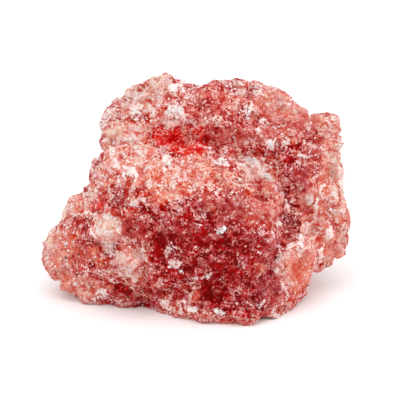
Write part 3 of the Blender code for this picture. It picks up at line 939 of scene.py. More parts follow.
LAYERS = (
    Layer(Mineral.ROSE, 0.9),
    Layer(Mineral.MAUVE, 0.95),
    Layer(Mineral.WINE, 0.95),
    Layer(Mineral.BLUSH, 0.95),
    Layer(Mineral.RUST, 0.85),
    Layer(Mineral.EMBER, 0.95),
    Layer(Mineral.FROST, 0.85),
    Layer(Mineral.BLOOD, 0.97, fray=0.4),
)
CRUST = Layer(Mineral.MILKY, 0.9, fray=0.75, held=0.75)
PALE = (Mineral.FROST, Mineral.BLUSH)
DARK = (Mineral.WINE, Mineral.MAUVE)

# The strength of a patch at which its mineral starts to show, and at which it covers fully.
EDGE = 0.25
MIDDLE = 0.70


@dataclass(frozen=True)
class SkinFinish:
    """The stone's own surface: sugary quartz, mottled by its minerals.

    Each mineral gives a tint. How deep the light goes before it comes out again differs from
    grain to grain, and raises the tint to a power: below 1 it pales, above 1 it deepens.

    Attributes:
        grain: The size of the grains that the minerals' edges break into, in millimetres.
        crumb: The size of the finest specks, in millimetres.
        seam: How far apart the seams between blocks of grains are, in millimetres.
        glow: How much of the light sinks into the stone and comes out again.
        depth: How far it sinks, in millimetres.
        dim: What the stone keeps of the light that falls on it, where it is cool.
        warm: What it keeps of it where it is warm.
        flush: Painted shade: what a shaded place is multiplied by, a red glow that stands for light
            reaching it through the stone.
        shallow: The least doublings of the light's way.
        deep: The most doublings of it.
        further: The doublings that are added everywhere.
    """

    grain: float = 0.82
    crumb: float = 0.34
    seam: float = 1.3
    glow: float = 0.5
    depth: float = 0.8
    dim: Colour = (0.71, 0.73, 0.74, 1.0)
    warm: Colour = (0.735, 0.69, 0.60, 1.0)
    flush: Colour = (1.24, 1.08, 1.08, 1.0)
    shallow: float = -2.2
    deep: float = 1.3
    further: float = 0.25

    def cover(self, sketch: Sketch, layer: Layer, chance: Socket, ragged: Socket) -> Socket:
        """How far a mineral covers what is below it, with an edge that breaks up grain by grain.

        Args:
            sketch: The material's nodes.
            layer: How the mineral lies.
            chance: A random number for each grain.
            ragged: A pattern about 0 that frays the edge.

        Returns:
            The cover, from 0 to 1.
        """
        edge = sketch.maths("ADD", sketch.centred(chance, 0.3), ragged)
        edge = sketch.maths("MULTIPLY", edge, layer.fray)
        mark = sketch.maths("MULTIPLY", sketch.held(layer.mineral), layer.held)
        return sketch.reach(sketch.maths("ADD", mark, edge), EDGE, MIDDLE, 0.0, layer.cover)

    def minerals(
        self, sketch: Sketch, chances: list[Socket], frayed: Socket, held: Socket
    ) -> Socket:
        """Lay the minerals over the rose quartz.

        Args:
            sketch: The material's nodes.
            chances: Random numbers for each grain.
            frayed: A pattern that frays the dark minerals' edges.
            held: One that frays the pale minerals' edges.

        Returns:
            The colour.
        """
        cloudy = sketch.reach(sketch.cloud(4.0, 4.0, 0.6), 0.38, 0.62)
        colour = sketch.mix(cloudy, TINTS.rose, TINTS.deep_rose)
        for turn, layer in enumerate(LAYERS):
            ragged = held if layer.mineral in PALE else frayed
            cover = self.cover(sketch, layer, chances[turn % len(chances)], ragged)
            colour = sketch.mix(cover, colour, TINTS.of(layer.mineral))
            if layer.mineral is Mineral.WINE:
                pooled = sketch.reach(sketch.cloud(3.2, 4.0, 0.5), 0.50, 0.54, 0.0, 0.9)
                within = sketch.reach(sketch.held(Mineral.WINE), 0.30, 0.75)
                colour = sketch.mix(sketch.maths("MULTIPLY", pooled, within), colour, TINTS.blood)
        return colour

    def light_path(
        self, sketch: Sketch, grains: bpy.types.Node, crumbs: bpy.types.Node, bent: Socket
    ) -> Socket:
        """How much further than usual the light goes in the stone, in doublings.

        Args:
            sketch: The material's nodes.
            grains: The pattern of the grains.
            crumbs: The pattern of the finest specks.
            bent: The coordinates that the grains are drawn on.

        Returns:
            The doublings, 0 where the light goes as far as usual.
        """
        # The finest scale: crumbs and hair-fine cracks, stronger on the pale side than on the deep.
        speckle = sketch.centred(sketch.cloud(0.5, 2.0, 1.0), 2.6)
        fine = sketch.maths("ADD", speckle, sketch.centred(sketch.chance(crumbs, 1), 2.25))
        for size, drop in ((0.9, -1.0), (0.5, -1.1)):
            level = sketch.maths("SUBTRACT", sketch.cloud(size, 2.0, 0.6), 0.5)
            crack = sketch.reach(sketch.maths("ABSOLUTE", level, 0.0), 0.0, 0.04, drop, 0.0)
            fine = sketch.maths("ADD", fine, crack)
        fine = sketch.maths("MINIMUM", fine, sketch.maths("MULTIPLY", fine, 0.4))
        # It comes and goes from place to place, and from mineral to mineral.
        lively = sketch.reach(sketch.cloud(1.9, 3.0, 0.6), 0.44, 0.56, 0.3, 1.75)
        calm = sketch.reach(sketch.held(Mineral.EMBER), 0.2, 0.8, 1.0, 0.75)
        pale = sketch.held(*PALE)
        in_dark = sketch.reach(sketch.held(*DARK), 0.2, 0.7, 1.0, 0.95)
        in_pale = sketch.reach(pale, 0.3, 0.8, 1.05, 0.8)
        clearer = sketch.maths("MULTIPLY", calm, in_dark, in_pale)
        total = sketch.maths("MULTIPLY", fine, sketch.maths("MULTIPLY", lively, clearer))
        # Coarser scales: red gaps, blocks of grains, the seams between them and milky veins. Deeper colour
        # in the hollows and paler on the rises, partly the grains' own colour and partly painted shade;
        # paler where the stone is thin, a painted glow of light through it.
        gaps = sketch.reach(pale, 0.25, 0.75, 0.8, 0.35)
        seam = sketch.reach(sketch.seams(self.seam, bent), 0.01, 0.08, 1.0, 0.0)
        netted = sketch.reach(sketch.cloud(2.2, 2.0), 0.42, 0.58)
        veined = sketch.reach(sketch.mark("veins"), 0.0, 1.0, -0.4, -1.4)
        blocky = sketch.reach(sketch.cloud(4.0, 3.0, 0.5), 0.42, 0.58, 0.3, 1.3)
        total = sketch.maths(
            "ADD",
            total,
            sketch.maths("MULTIPLY", sketch.centred(sketch.cloud(2.2, 2.0, 1.0), 2.1), calm),
            sketch.maths("MULTIPLY", sketch.reach(sketch.cloud(1.3, 4.0, 0.6), 0.55, 0.60), gaps),
            sketch.maths("MULTIPLY", sketch.centred(sketch.chance(grains, 0), 1.1), blocky),
            # Partly painted shade: deeper in the hollows, paler on the rises.
            sketch.reach(sketch.mark("relief"), 0.12, 0.45, 0.6, 0.0),
            sketch.reach(sketch.mark("relief"), 0.55, 0.88, 0.0, -0.6),
            # Painted light: paler where the stone is thin, standing for light shining through its thin
            # edges.
            sketch.reach(sketch.mark("thin"), 0.0, 1.0, 0.0, -0.3),
            sketch.maths("MULTIPLY", seam, sketch.reach(sketch.cloud(2.7, 2.0), 0.45, 0.6, 0.0, 0.9)),
            sketch.maths("MULTIPLY", seam, netted, veined),
        )
        # Hazy places are more even, and wine and blood-red ones deeper.
        pooled = sketch.maths("MULTIPLY", sketch.held(Mineral.BLOOD), 0.6)
        hazy = sketch.maths("MAXIMUM", sketch.held(Mineral.HAZE), pooled)
        total = sketch.maths(
            "ADD",
            sketch.maths("MULTIPLY", total, sketch.reach(hazy, 0.2, 0.8, 1.0, 0.5)),
            sketch.reach(sketch.held(Mineral.WINE), 0.2, 0.9, 0.0, 0.35),
            sketch.reach(sketch.held(Mineral.BLOOD), 0.2, 0.9, 0.0, 0.35),
            self.further,
        )
        return sketch.maths("MINIMUM", sketch.maths("MAXIMUM", total, self.shallow), self.deep)

    def material(self) -> bpy.types.Material:
        """Make the material.

        Returns:
            The material, which reads the minerals' attributes on the skin.
        """
        sketch = Sketch("granular_rose_quartz")
        bent = sketch.swerve(self.seam, 0.35)
        grains = sketch.cells(self.grain, bent)
        fine = sketch.swerve(0.6, 0.12)
        crumbs = sketch.cells(self.crumb, fine)
        path = self.light_path(sketch, grains, crumbs, bent)
        chances = [sketch.chance(grains, channel) for channel in range(3)]
        frayed = sketch.centred(sketch.cloud(0.8, 4.0, 0.9), 1.5)
        held = sketch.maths("SUBTRACT", frayed, sketch.maths("MULTIPLY", path, 0.14))
        # The minerals' colours, deepened by the light's way, warmed at random, and painted redder in the
        # shade.
        deepened = sketch.add("ShaderNodeGamma")
        sketch.feed(deepened.inputs["Color"], self.minerals(sketch, chances, frayed, held))
        sketch.feed(deepened.inputs["Gamma"], sketch.maths("POWER", 2.0, path))
        warmth = sketch.mix(sketch.reach(sketch.cloud(2.8, 4.0, 0.6), 0.38, 0.62), self.dim, self.warm)
        colour = sketch.mix(1.0, deepened.outputs[0], warmth, "MULTIPLY")
        # Painted shade: redder where the shade mark says little light falls, standing for light through the
        # stone.
        painted_glow = sketch.reach(sketch.mark("shade"), 0.36, 0.62)
        colour = sketch.mix(painted_glow, colour, self.flush, "MULTIPLY")
        # The milky crust, pinker where the path is long, with painted shade: pinker where the shade mark is
        # high and rose in the hollows.
        shade = sketch.reach(sketch.mark("shade"), 0.15, 0.65)
        crust = sketch.mix(sketch.reach(path, -0.5, 1.0), TINTS.milky, TINTS.spark)
        crust = sketch.mix(sketch.maths("MULTIPLY", shade, 0.7), crust, TINTS.flush)
        crust = sketch.mix(sketch.reach(sketch.mark("relief"), 0.15, 0.45, 0.7, 0.0), crust, TINTS.rose)
        netted = sketch.maths("SUBTRACT", frayed, sketch.maths("MULTIPLY", path, 0.26))
        colour = sketch.mix(self.cover(sketch, CRUST, chances[2], netted), colour, crust)
        # Sparks, painted glints that stand for highlights on the grains' facets, and soot specks.
        spark = sketch.maths(
            "MULTIPLY",
            sketch.reach(sketch.chance(crumbs, 0), 0.91, 0.93, 0.0, 0.85),
            sketch.reach(sketch.cloud(2.0, 3.0, 0.6), 0.45, 0.58),
            sketch.reach(sketch.held(*DARK), 0.2, 0.7, 1.0, 0.25),
            sketch.reach(sketch.held(Mineral.BLOOD, Mineral.EMBER), 0.2, 0.6, 1.0, 0.5),
        )
        colour = sketch.mix(spark, colour, TINTS.painted_glint)
        specks = sketch.reach(sketch.chance(crumbs, 0), 0.05, 0.06, 0.9, 0.0)
        sooty = sketch.reach(sketch.held(Mineral.SOOT), 0.2, 0.6)
        colour = sketch.mix(sketch.maths("MULTIPLY", specks, sooty), colour, TINTS.soot)
        rough = sketch.reach(sketch.chance(crumbs, 2), 0.0, 1.0, 0.22, 0.62)
        normals = sketch.facets(grains, bent, 0.15)
        normals = sketch.facets(crumbs, fine, 0.42, normals)
        normals = sketch.bump(sketch.cloud(0.25, 3.0, 0.6), 0.04, 0.4, normals)
        return sketch.finish(
            {
                "IOR": QUARTZ_IOR,
                "Specular IOR Level": 0.04,
                "Subsurface Weight": self.glow,
                "Subsurface Radius": (1.0, 0.35, 0.30),
                "Subsurface Scale": self.depth * MM,
            },
            {"Base Color": colour, "Roughness": rough, "Normal": normals},
        )


@dataclass(frozen=True)
class GrainFinish:
    """Loose grains of quartz, each with its own tint from the mesh.

    Attributes:
        name: The material's name.
        clear: How much light passes straight through.
        glow: How much light sinks in and comes out again.
        gloss: How strongly its faces mirror the light.
        rough: The lowest and highest roughness.
        depth: How far the light sinks in, in millimetres.
    """

    name: str
    clear: float
    glow: float
    gloss: float
    rough: tuple[float, float]
    depth: float = 0.8

    def material(self) -> bpy.types.Material:
        """Make the material.

        Returns:
            The material, which reads the grains' tint from the mesh.
        """
        sketch = Sketch(self.name)
        colour = sketch.paint("tint")
        cloudy = sketch.reach(sketch.cloud(0.5, 3.0, 0.6), 0.35, 0.7, 0.0, 0.15)
        colour = sketch.mix(cloudy, colour, TINTS.spark)
        rough = sketch.reach(sketch.cloud(0.7, 3.0, 0.6), 0.3, 0.7, *self.rough)
        normals = sketch.bump(sketch.cloud(0.2, 2.0, 0.5), 0.03, 0.35)
        return sketch.finish(
            {
                "IOR": QUARTZ_IOR,
                "Specular IOR Level": self.gloss,
                "Transmission Weight": self.clear,
                "Subsurface Weight": self.glow,
                "Subsurface Radius": (1.0, 0.45, 0.40),
                "Subsurface Scale": self.depth * MM,
            },
            {"Base Color": colour, "Roughness": rough, "Normal": normals},
        )


@dataclass(frozen=True)
class SkinRules:
    """The measures by which the skin is mapped, read and roughened, in millimetres unless said.

    Attributes:
        grazing: The least cosine to the line of sight at which the survey sees a place.
        start: How far below the skin its thickness is measured from.
        probe: How far into the stone it is measured.
        thick: The thickness from which the stone isn't thin.
        patch_depth: How deep a patch or swell reaches, against its half width.
        patch_margin: How much deeper than that it reaches.
        patch_edge: Where a patch ends, as a squared share of its half width.
        strewn: The least and most that a strewn patch is stretched along each axis.
        blend: How strongly strewn patches keep off the side that is seen.
        bend: The size of the bends in the grit.
        bend_reach: How far the bends reach.
        fade_from: The height from which the skin is roughened.
        fade_over: Over what height that grows.
        relief_span: The rise from the lowest relief to the highest.
        glance: The least cosine at which light counts.
        clear_of: How far above the skin light is looked for.
        sky_reach: How far off a face still shades a place.
        sky_share: The share of the light that comes from all round.
        fall: Where the rest comes from.
        veins_from: The height from which there are fine veins.
        veins_over: Over what height they grow.
        veins_behind: How strong they are where the survey doesn't see.
    """

    grazing: float = 0.05
    start: float = 0.05
    probe: float = 20.0
    thick: float = 14.0
    patch_depth: float = 2.2
    patch_margin: float = 2.5
    patch_edge: float = 1.35
    strewn: tuple[float, float] = (0.6, 1.4)
    blend: float = 2.0
    bend: float = 1.2
    bend_reach: float = 0.25
    fade_from: float = 0.1
    fade_over: float = 0.8
    relief_span: float = 0.24
    glance: float = 0.1
    clear_of: float = 0.2
    sky_reach: float = 25.0
    sky_share: float = 0.7
    fall: tuple[float, float, float] = (-0.1, -0.3, 0.95)
    veins_from: float = 24.0
    veins_over: float = 8.0
    veins_behind: float = 0.25


RULES = SkinRules()


def eased(top: float, near: np.ndarray) -> np.ndarray:
    """Rise softly from 0 to a top value.

    Args:
        top: The value reached.
        near: How near each place is, 0 or less being away from the rise and 1 or more on its top.

    Returns:
        Each place's value.
    """
    held = np.clip(near, 0.0, 1.0)
    return top * held * held * (3.0 - 2.0 * held)


@dataclass
class Skin:
    """The stone's skin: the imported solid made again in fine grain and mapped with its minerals.

    Attributes:
        name: The piece's name.
        voxel: The fine grain's spacing, in millimetres.
        foot: Up to this height, in millimetres, the skin belongs to the flat underside.
        grits: The scales of its broken surface.
        seed: What its random patches are drawn from.
        noise_seed: What the pushes of its patches' edges are drawn from.
        pushes: The size and reach of those pushes, in millimetres.
        milky_lift: How far milky crusts stand up, in millimetres.
        red_sink: How far blood-red gaps are sunk, in millimetres.
        rays: How many ways each place looks for the light.
        piece: The finished object.
        marks: Each attribute's values, a number for each vertex.
        tree: The tree of its faces.
    """

    name: str = "quartz_skin"
    voxel: float = 0.352
    foot: float = 0.12
    grits: tuple[Grit, ...] = GRITS
    seed: int = 41
    noise_seed: int = 3
    pushes: tuple[tuple[float, float], tuple[float, float]] = ((3.0, 0.9), (1.1, 0.5))
    milky_lift: float = 0.14
    red_sink: float = 0.22
    rays: int = 18
    piece: bpy.types.Object | None = None
    marks: dict[str, np.ndarray] = field(default_factory=dict)
    tree: BVHTree | None = None

    def remade(self, node: bpy.types.Object) -> bpy.types.Object:
        """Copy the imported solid, merge its loose triangles and make it again in fine grain.

        Args:
            node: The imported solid.

        Returns:
            The new object.
        """
        shell = bmesh.new()
        shell.from_mesh(node.data)
        bmesh.ops.remove_doubles(shell, verts=shell.verts, dist=1e-6)
        bmesh.ops.recalc_face_normals(shell, faces=shell.faces)
        rough = bpy.data.meshes.new(self.name + "_rough")
        shell.to_mesh(rough)
        shell.free()
        block = bpy.data.objects.new(self.name + "_rough", rough)
        bpy.context.scene.collection.objects.link(block)
        fine = block.modifiers.new("fine", "REMESH")
        fine.mode = "VOXEL"
        fine.voxel_size = self.voxel * MM
        fine.adaptivity = 0.0
        soft = block.modifiers.new("soft", "SMOOTH")
        soft.factor = 0.5
        soft.iterations = 3
        drawn = block.evaluated_get(bpy.context.evaluated_depsgraph_get())
        baked = bpy.data.meshes.new_from_object(drawn)
        bpy.data.objects.remove(block)
        bpy.data.meshes.remove(rough)
        baked.name = self.name
        piece = bpy.data.objects.new(self.name, baked)
        bpy.context.scene.collection.objects.link(piece)
        return piece

    def places(self) -> np.ndarray:
        """The vertices' places, in millimetres, a row each."""
        mesh = self.piece.data
        flat = np.empty(len(mesh.vertices) * 3)
        mesh.vertices.foreach_get("co", flat)
        return flat.reshape(-1, 3) / MM

    def normals(self) -> np.ndarray:
        """The vertices' normals, a row each."""
        mesh = self.piece.data
        flat = np.empty(len(mesh.vertices) * 3)
        mesh.vertex_normals.foreach_get("vector", flat)
        return flat.reshape(-1, 3)

    def move(self, places: np.ndarray) -> None:
        """Put the vertices at new places, in millimetres, none below the foot's plane."""
        settled = places.copy()
        settled[settled[:, 2] < self.foot, 2] = 0.0
        self.piece.data.vertices.foreach_set("co", (settled * MM).ravel())
        self.piece.data.update()

    def warped(self, places: np.ndarray) -> np.ndarray:
        """Push places about a little, so that what is mapped by them has ragged edges.

        Args:
            places: The places, in millimetres.

        Returns:
            The pushed places.
        """
        (broad, far), (small, near) = self.pushes
        elsewhere = Vector((9.0, 4.0, 7.0))
        pushed = np.empty_like(places)
        for row, place in enumerate(places):
            spot = Vector(place)
            coarse = noise.noise_vector(spot / broad) * far
            fine = noise.noise_vector(spot / small + elsewhere) * near
            pushed[row] = spot + coarse + fine
        return pushed

    def sheet(self, places: np.ndarray) -> tuple[np.ndarray, np.ndarray, np.ndarray]:
        """Where places fall on the survey's sheet.

        Args:
            places: The places, in millimetres.

        Returns:
            How far across and up the sheet each falls, and how far it is in front of the sheet.
        """
        middle = np.array(SURVEY.middle)
        offset = places - middle
        forward = offset @ np.array(SURVEY.towards())
        shrink = SURVEY.reach / (SURVEY.reach - forward)
        return offset[:, 0] * shrink, (offset @ np.array(SURVEY.upwards())) * shrink, forward

    def survey_patches(self, places: np.ndarray) -> None:
        """Map the patches of the survey's sheet onto the skin.

        Args:
            places: The vertices' pushed places, in millimetres.
        """
        across, rise, forward = self.sheet(places)
        for patch in PATCHES:
            struck = SURVEY.strike(self.tree, patch.across, patch.rise)
            turn = math.radians(patch.turn)
            right, up = across - patch.across, rise - patch.rise
            along = (right * math.cos(turn) + up * math.sin(turn)) / patch.wide
            over = (up * math.cos(turn) - right * math.sin(turn)) / patch.tall
            deeper = self.apart_in_depth(forward, SURVEY.depth(struck), patch)
            self.lay(patch.mineral, along**2 + over**2 + deeper, patch.strength)

    def apart_in_depth(self, forward: np.ndarray, depth: float, form: Patch | Swell) -> np.ndarray:
        """How far vertices are from a patch or swell along the line of sight, squared.

        Args:
            forward: How far each vertex is in front of the sheet, in millimetres.
            depth: How far the middle of the patch or swell is in front of it.
            form: The patch or swell.

        Returns:
            The squares, where 1 is its edge.
        """
        reach = RULES.patch_depth * max(form.wide, form.tall) + RULES.patch_margin
        return ((forward - depth) / reach) ** 2

    def strew_patches(self, places: np.ndarray) -> None:
        """Strew patches over the sides that the survey doesn't see.

        Args:
            places: The vertices' pushed places, in millimetres.
        """
        draw = np.random.default_rng(self.seed)
        unseen = np.flatnonzero(self.marks["unseen"] > 0.5)
        seen = RULES.blend * (1.0 - self.evened(self.marks["unseen"], 12)) ** 2
        for spread in SPREADS:
            for _ in range(spread.count):
                centre = places[draw.choice(unseen)]
                size = draw.uniform(spread.small, spread.large) * draw.uniform(*RULES.strewn, 3)
                apart = (((places - centre) / size) ** 2).sum(axis=1) + seen
                self.lay(spread.mineral, apart, spread.strength)

    def lay(self, mineral: Mineral, apart: np.ndarray, strength: float) -> None:
        """Add one patch to a mineral's attribute.

        Args:
            mineral: The mineral.
            apart: How far each vertex is from the patch's middle, squared, where 1 is its edge.
            strength: How fully it covers its middle.
        """
        mark = self.marks[mineral.value]
        mark += (1.0 - mark) * eased(strength, RULES.patch_edge - apart)

    def look_around(self, places: np.ndarray, normals: np.ndarray) -> None:
        """Mark where the survey doesn't see the skin, and where the stone is thin.

        Args:
            places: The vertices' places, in millimetres.
            normals: Their normals.
        """
        unseen = np.zeros(len(places))
        thin = np.zeros(len(places))
        eye = SURVEY.eye()
        for row, (place, normal) in enumerate(zip(places, normals)):
            spot, out = Vector(place) * MM, Vector(normal)
            facing = out.dot((eye - spot).normalized())
            if facing < RULES.grazing or not SURVEY.sees(self.tree, spot):
                unseen[row] = 1.0
            far = self.tree.ray_cast(spot - out * RULES.start * MM, -out, RULES.probe * MM)[3]
            thin[row] = 0.0 if far is None else 1.0 - min(far / (RULES.thick * MM), 1.0)
        self.marks["unseen"] = unseen
        self.marks["thin"] = self.evened(thin, 6)

    def evened(self, values: np.ndarray, rounds: int) -> np.ndarray:
        """Even out values over neighbouring vertices.

        Args:
            values: A number or a row of numbers for each vertex.
            rounds: How many times to even them.

        Returns:
            The evened values.
        """
        mesh = self.piece.data
        ends = np.empty(len(mesh.edges) * 2, dtype=np.int32)
        mesh.edges.foreach_get("vertices", ends)
        one, other = ends.reshape(-1, 2).T
        count = len(mesh.vertices)
        links = np.bincount(one, minlength=count) + np.bincount(other, minlength=count)
        columns = values.reshape(count, -1).astype(float)
        for _ in range(rounds):
            total = np.stack(
                [
                    np.bincount(one, column[other], count) + np.bincount(other, column[one], count)
                    for column in columns.T
                ],
                axis=1,
            )
            columns = 0.5 * columns + 0.5 * total / links[:, None]
        return columns.reshape(values.shape)

    def swollen(self, places: np.ndarray) -> np.ndarray:
        """How far the soft rises and hollows lift the skin.

        Args:
            places: The vertices' places, in millimetres.

        Returns:
            The lift at each vertex, in millimetres.
        """
        across, rise, forward = self.sheet(places)
        lift = np.zeros(len(places))
        for swell in SWELLS:
            flat = ((across - swell.across) / swell.wide) ** 2 + ((rise - swell.rise) / swell.tall) ** 2
            struck = SURVEY.strike(self.tree, swell.across, swell.rise)
            depth = forward[np.argmin(flat)] if struck is None else SURVEY.depth(struck)
            deeper = self.apart_in_depth(forward, depth, swell)
            lift += eased(swell.lift, 1.0 - 0.5 * (flat + deeper))
        return lift

    def roughen(self, places: np.ndarray, normals: np.ndarray) -> None:
        """Break the skin into grit, with milky crusts raised and red gaps sunk.

        Args:
            places: The vertices' places, in millimetres.
            normals: Their normals.
        """
        lift = np.zeros(len(places))
        for row, place in enumerate(places):
            spot = Vector(place)
            bend = noise.noise_vector(spot / RULES.bend) * RULES.bend_reach
            lift[row] = sum(grit.at(spot + bend) for grit in self.grits)
        lift += self.milky_lift * self.marks["milky"] - self.red_sink * self.marks["blood"]
        broad = self.swollen(places)
        fade = np.clip((places[:, 2] - RULES.fade_from) / RULES.fade_over, 0.0, 1.0)
        soft = self.evened(normals, 12)
        self.move(places + normals * (lift * fade)[:, None] + soft * (broad * fade)[:, None])

    def read_relief(self) -> None:
        """Mark how far each vertex stands out from the skin around it, 0.5 being level."""
        places, normals = self.places(), self.normals()
        stand = ((places - self.evened(places, 10)) * normals).sum(axis=1)
        self.marks["relief"] = np.clip(0.5 + stand / RULES.relief_span, 0.0, 1.0)

    def read_shade(self) -> None:
        """Mark where little light falls on the skin, 0 being an open place that faces upwards.

        The material paints such places redder than a shadow would be, as painted shade that stands for
        light reaching them through the stone.
        """
        places, normals = self.places(), self.normals()
        turns = np.arange(self.rays) * math.pi * (3.0 - math.sqrt(5.0))
        heights = (np.arange(self.rays) + 0.5) / (self.rays / 2.0) - 1.0
        level = np.sqrt(1.0 - heights**2)
        rays = np.stack([np.cos(turns) * level, np.sin(turns) * level, heights], axis=1)
        facing = np.clip(normals @ rays.T - RULES.glance, 0.0, 1.0)
        lit = np.zeros(len(places))
        for row, (place, normal) in enumerate(zip(places, normals)):
            spot = Vector(place + RULES.clear_of * normal) * MM
            for turn in np.flatnonzero(facing[row]):
                if self.tree.ray_cast(spot, Vector(rays[turn]), RULES.sky_reach * MM)[0] is None:
                    lit[row] += facing[row, turn]
        lit *= RULES.sky_share / np.maximum(facing.sum(axis=1), 1e-6)
        lit += (1.0 - RULES.sky_share) * np.clip(normals @ np.array(RULES.fall), 0.0, 1.0)
        self.marks["shade"] = self.evened(np.clip(1.0 - lit, 0.0, 1.0), 3)

    def mark_veins(self, places: np.ndarray) -> None:
        """Mark where fine milky veins net the rose quartz: over the crown and on its back."""
        high = np.clip((places[:, 2] - RULES.veins_from) / RULES.veins_over, 0.0, 1.0)
        self.marks["veins"] = np.clip(high + RULES.veins_behind * self.marks["unseen"], 0.0, 1.0)

    def keep_marks(self) -> None:
        """Write the marks to the mesh as attributes."""
        for name, values in self.marks.items():
            layer = self.piece.data.attributes.new(name, "FLOAT", "POINT")
            layer.data.foreach_set("value", values.astype(np.float32))

    def tints(self) -> np.ndarray:
        """The skin's colour at each vertex without its finest specks, as rows of three numbers.

        Returns:
            The colours.
        """
        colours = np.tile(np.array(TINTS.rose[:3]), (len(self.marks["relief"]), 1))
        for layer in (*LAYERS, CRUST):
            held = np.clip((self.marks[layer.mineral.value] - EDGE) / 0.4, 0.0, 1.0)
            cover = held[:, None] * layer.cover
            colours = colours * (1.0 - cover) + np.array(TINTS.of(layer.mineral)[:3]) * cover
        return colours

    def build(self) -> None:
        """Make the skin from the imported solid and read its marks."""
        noise.seed_set(self.noise_seed)
        self.piece = self.remade(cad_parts[NODE])
        places = self.places()
        self.move(places)
        self.tree = self.planted()
        count = len(places)
        self.marks = {mineral.value: np.zeros(count) for mineral in Mineral}
        normals = self.normals()
        self.look_around(places, normals)
        pushed = self.warped(places)
        self.survey_patches(pushed)
        self.strew_patches(pushed)
        self.mark_veins(places)
        self.roughen(places, normals)
        self.tree = self.planted()
        self.read_relief()
        self.read_shade()
        self.keep_marks()

    def planted(self) -> BVHTree:
        """The tree of the skin's faces as they are now."""
        mesh = self.piece.data
        corners = [vertex.co for vertex in mesh.vertices]
        return BVHTree.FromPolygons(corners, [face.vertices for face in mesh.polygons])

    def dress(self) -> None:
        """Give the skin its finish and its place on the frame."""
        self.piece.data.materials.clear()
        self.piece.data.materials.append(SkinFinish().material())
        for face in self.piece.data.polygons:
            face.use_smooth = True
        settle(self.piece)


def settle(piece: bpy.types.Object) -> None:
    """Make a piece ride on the stone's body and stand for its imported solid.

    Args:
        piece: The piece.
    """
    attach(piece, "root")
    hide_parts(NODE)


@dataclass(frozen=True)
class GrainRules:
    """The measures by which all loose grains are shaped, as shares of their size, and sown.

    Attributes:
        chip_corner: The least and most that a chip's corners stand out, against an even ball's.
        block_side: A block's side before its corners are split off.
        splits: How many corners are split off.
        split_reach: The least and most distance from its middle at which they are.
        point_foot: The radius of a point's lower end.
        point_neck: Its radius where the tip starts.
        point_height: Its height below the tip.
        tip_height: The tip's height.
        tip_shift: How far the tip stands off the point's axis at most.
        patterns: How many different grains a crop repeats.
        swarm: The size of the swarms that grains gather in, in millimetres.
        upright: How far points wander from the skin's normal.
        tumbled: How far other grains do.
        wander: What both are multiplied by.
        skew: How much commoner small grains are than large ones.
        stretch: The least and most that a grain is stretched along each axis.
        soak: The power that deepens the ground's colour in the grains.
        haze: The middle and the spread of how far a grain's colour deepens, in doublings.
        haze_ends: The least and most of that.
        clearance: The least height of a grain's corner above the floor, in millimetres.
    """

    chip_corner: tuple[float, float] = (0.72, 1.2)
    block_side: float = 0.9
    splits: int = 4
    split_reach: tuple[float, float] = (0.28, 0.4)
    point_foot: float = 0.24
    point_neck: float = 0.2
    point_height: float = 0.8
    tip_height: float = 0.24
    tip_shift: float = 0.05
    patterns: int = 12
    swarm: float = 2.6
    upright: float = 0.9
    tumbled: float = 2.0
    wander: float = 0.4
    skew: float = 1.6
    stretch: tuple[float, float] = (0.65, 1.25)
    soak: float = 1.2
    haze: tuple[float, float] = (-0.2, 0.5)
    haze_ends: tuple[float, float] = (-2.0, 0.6)
    clearance: float = 0.02


GRAIN = GrainRules()


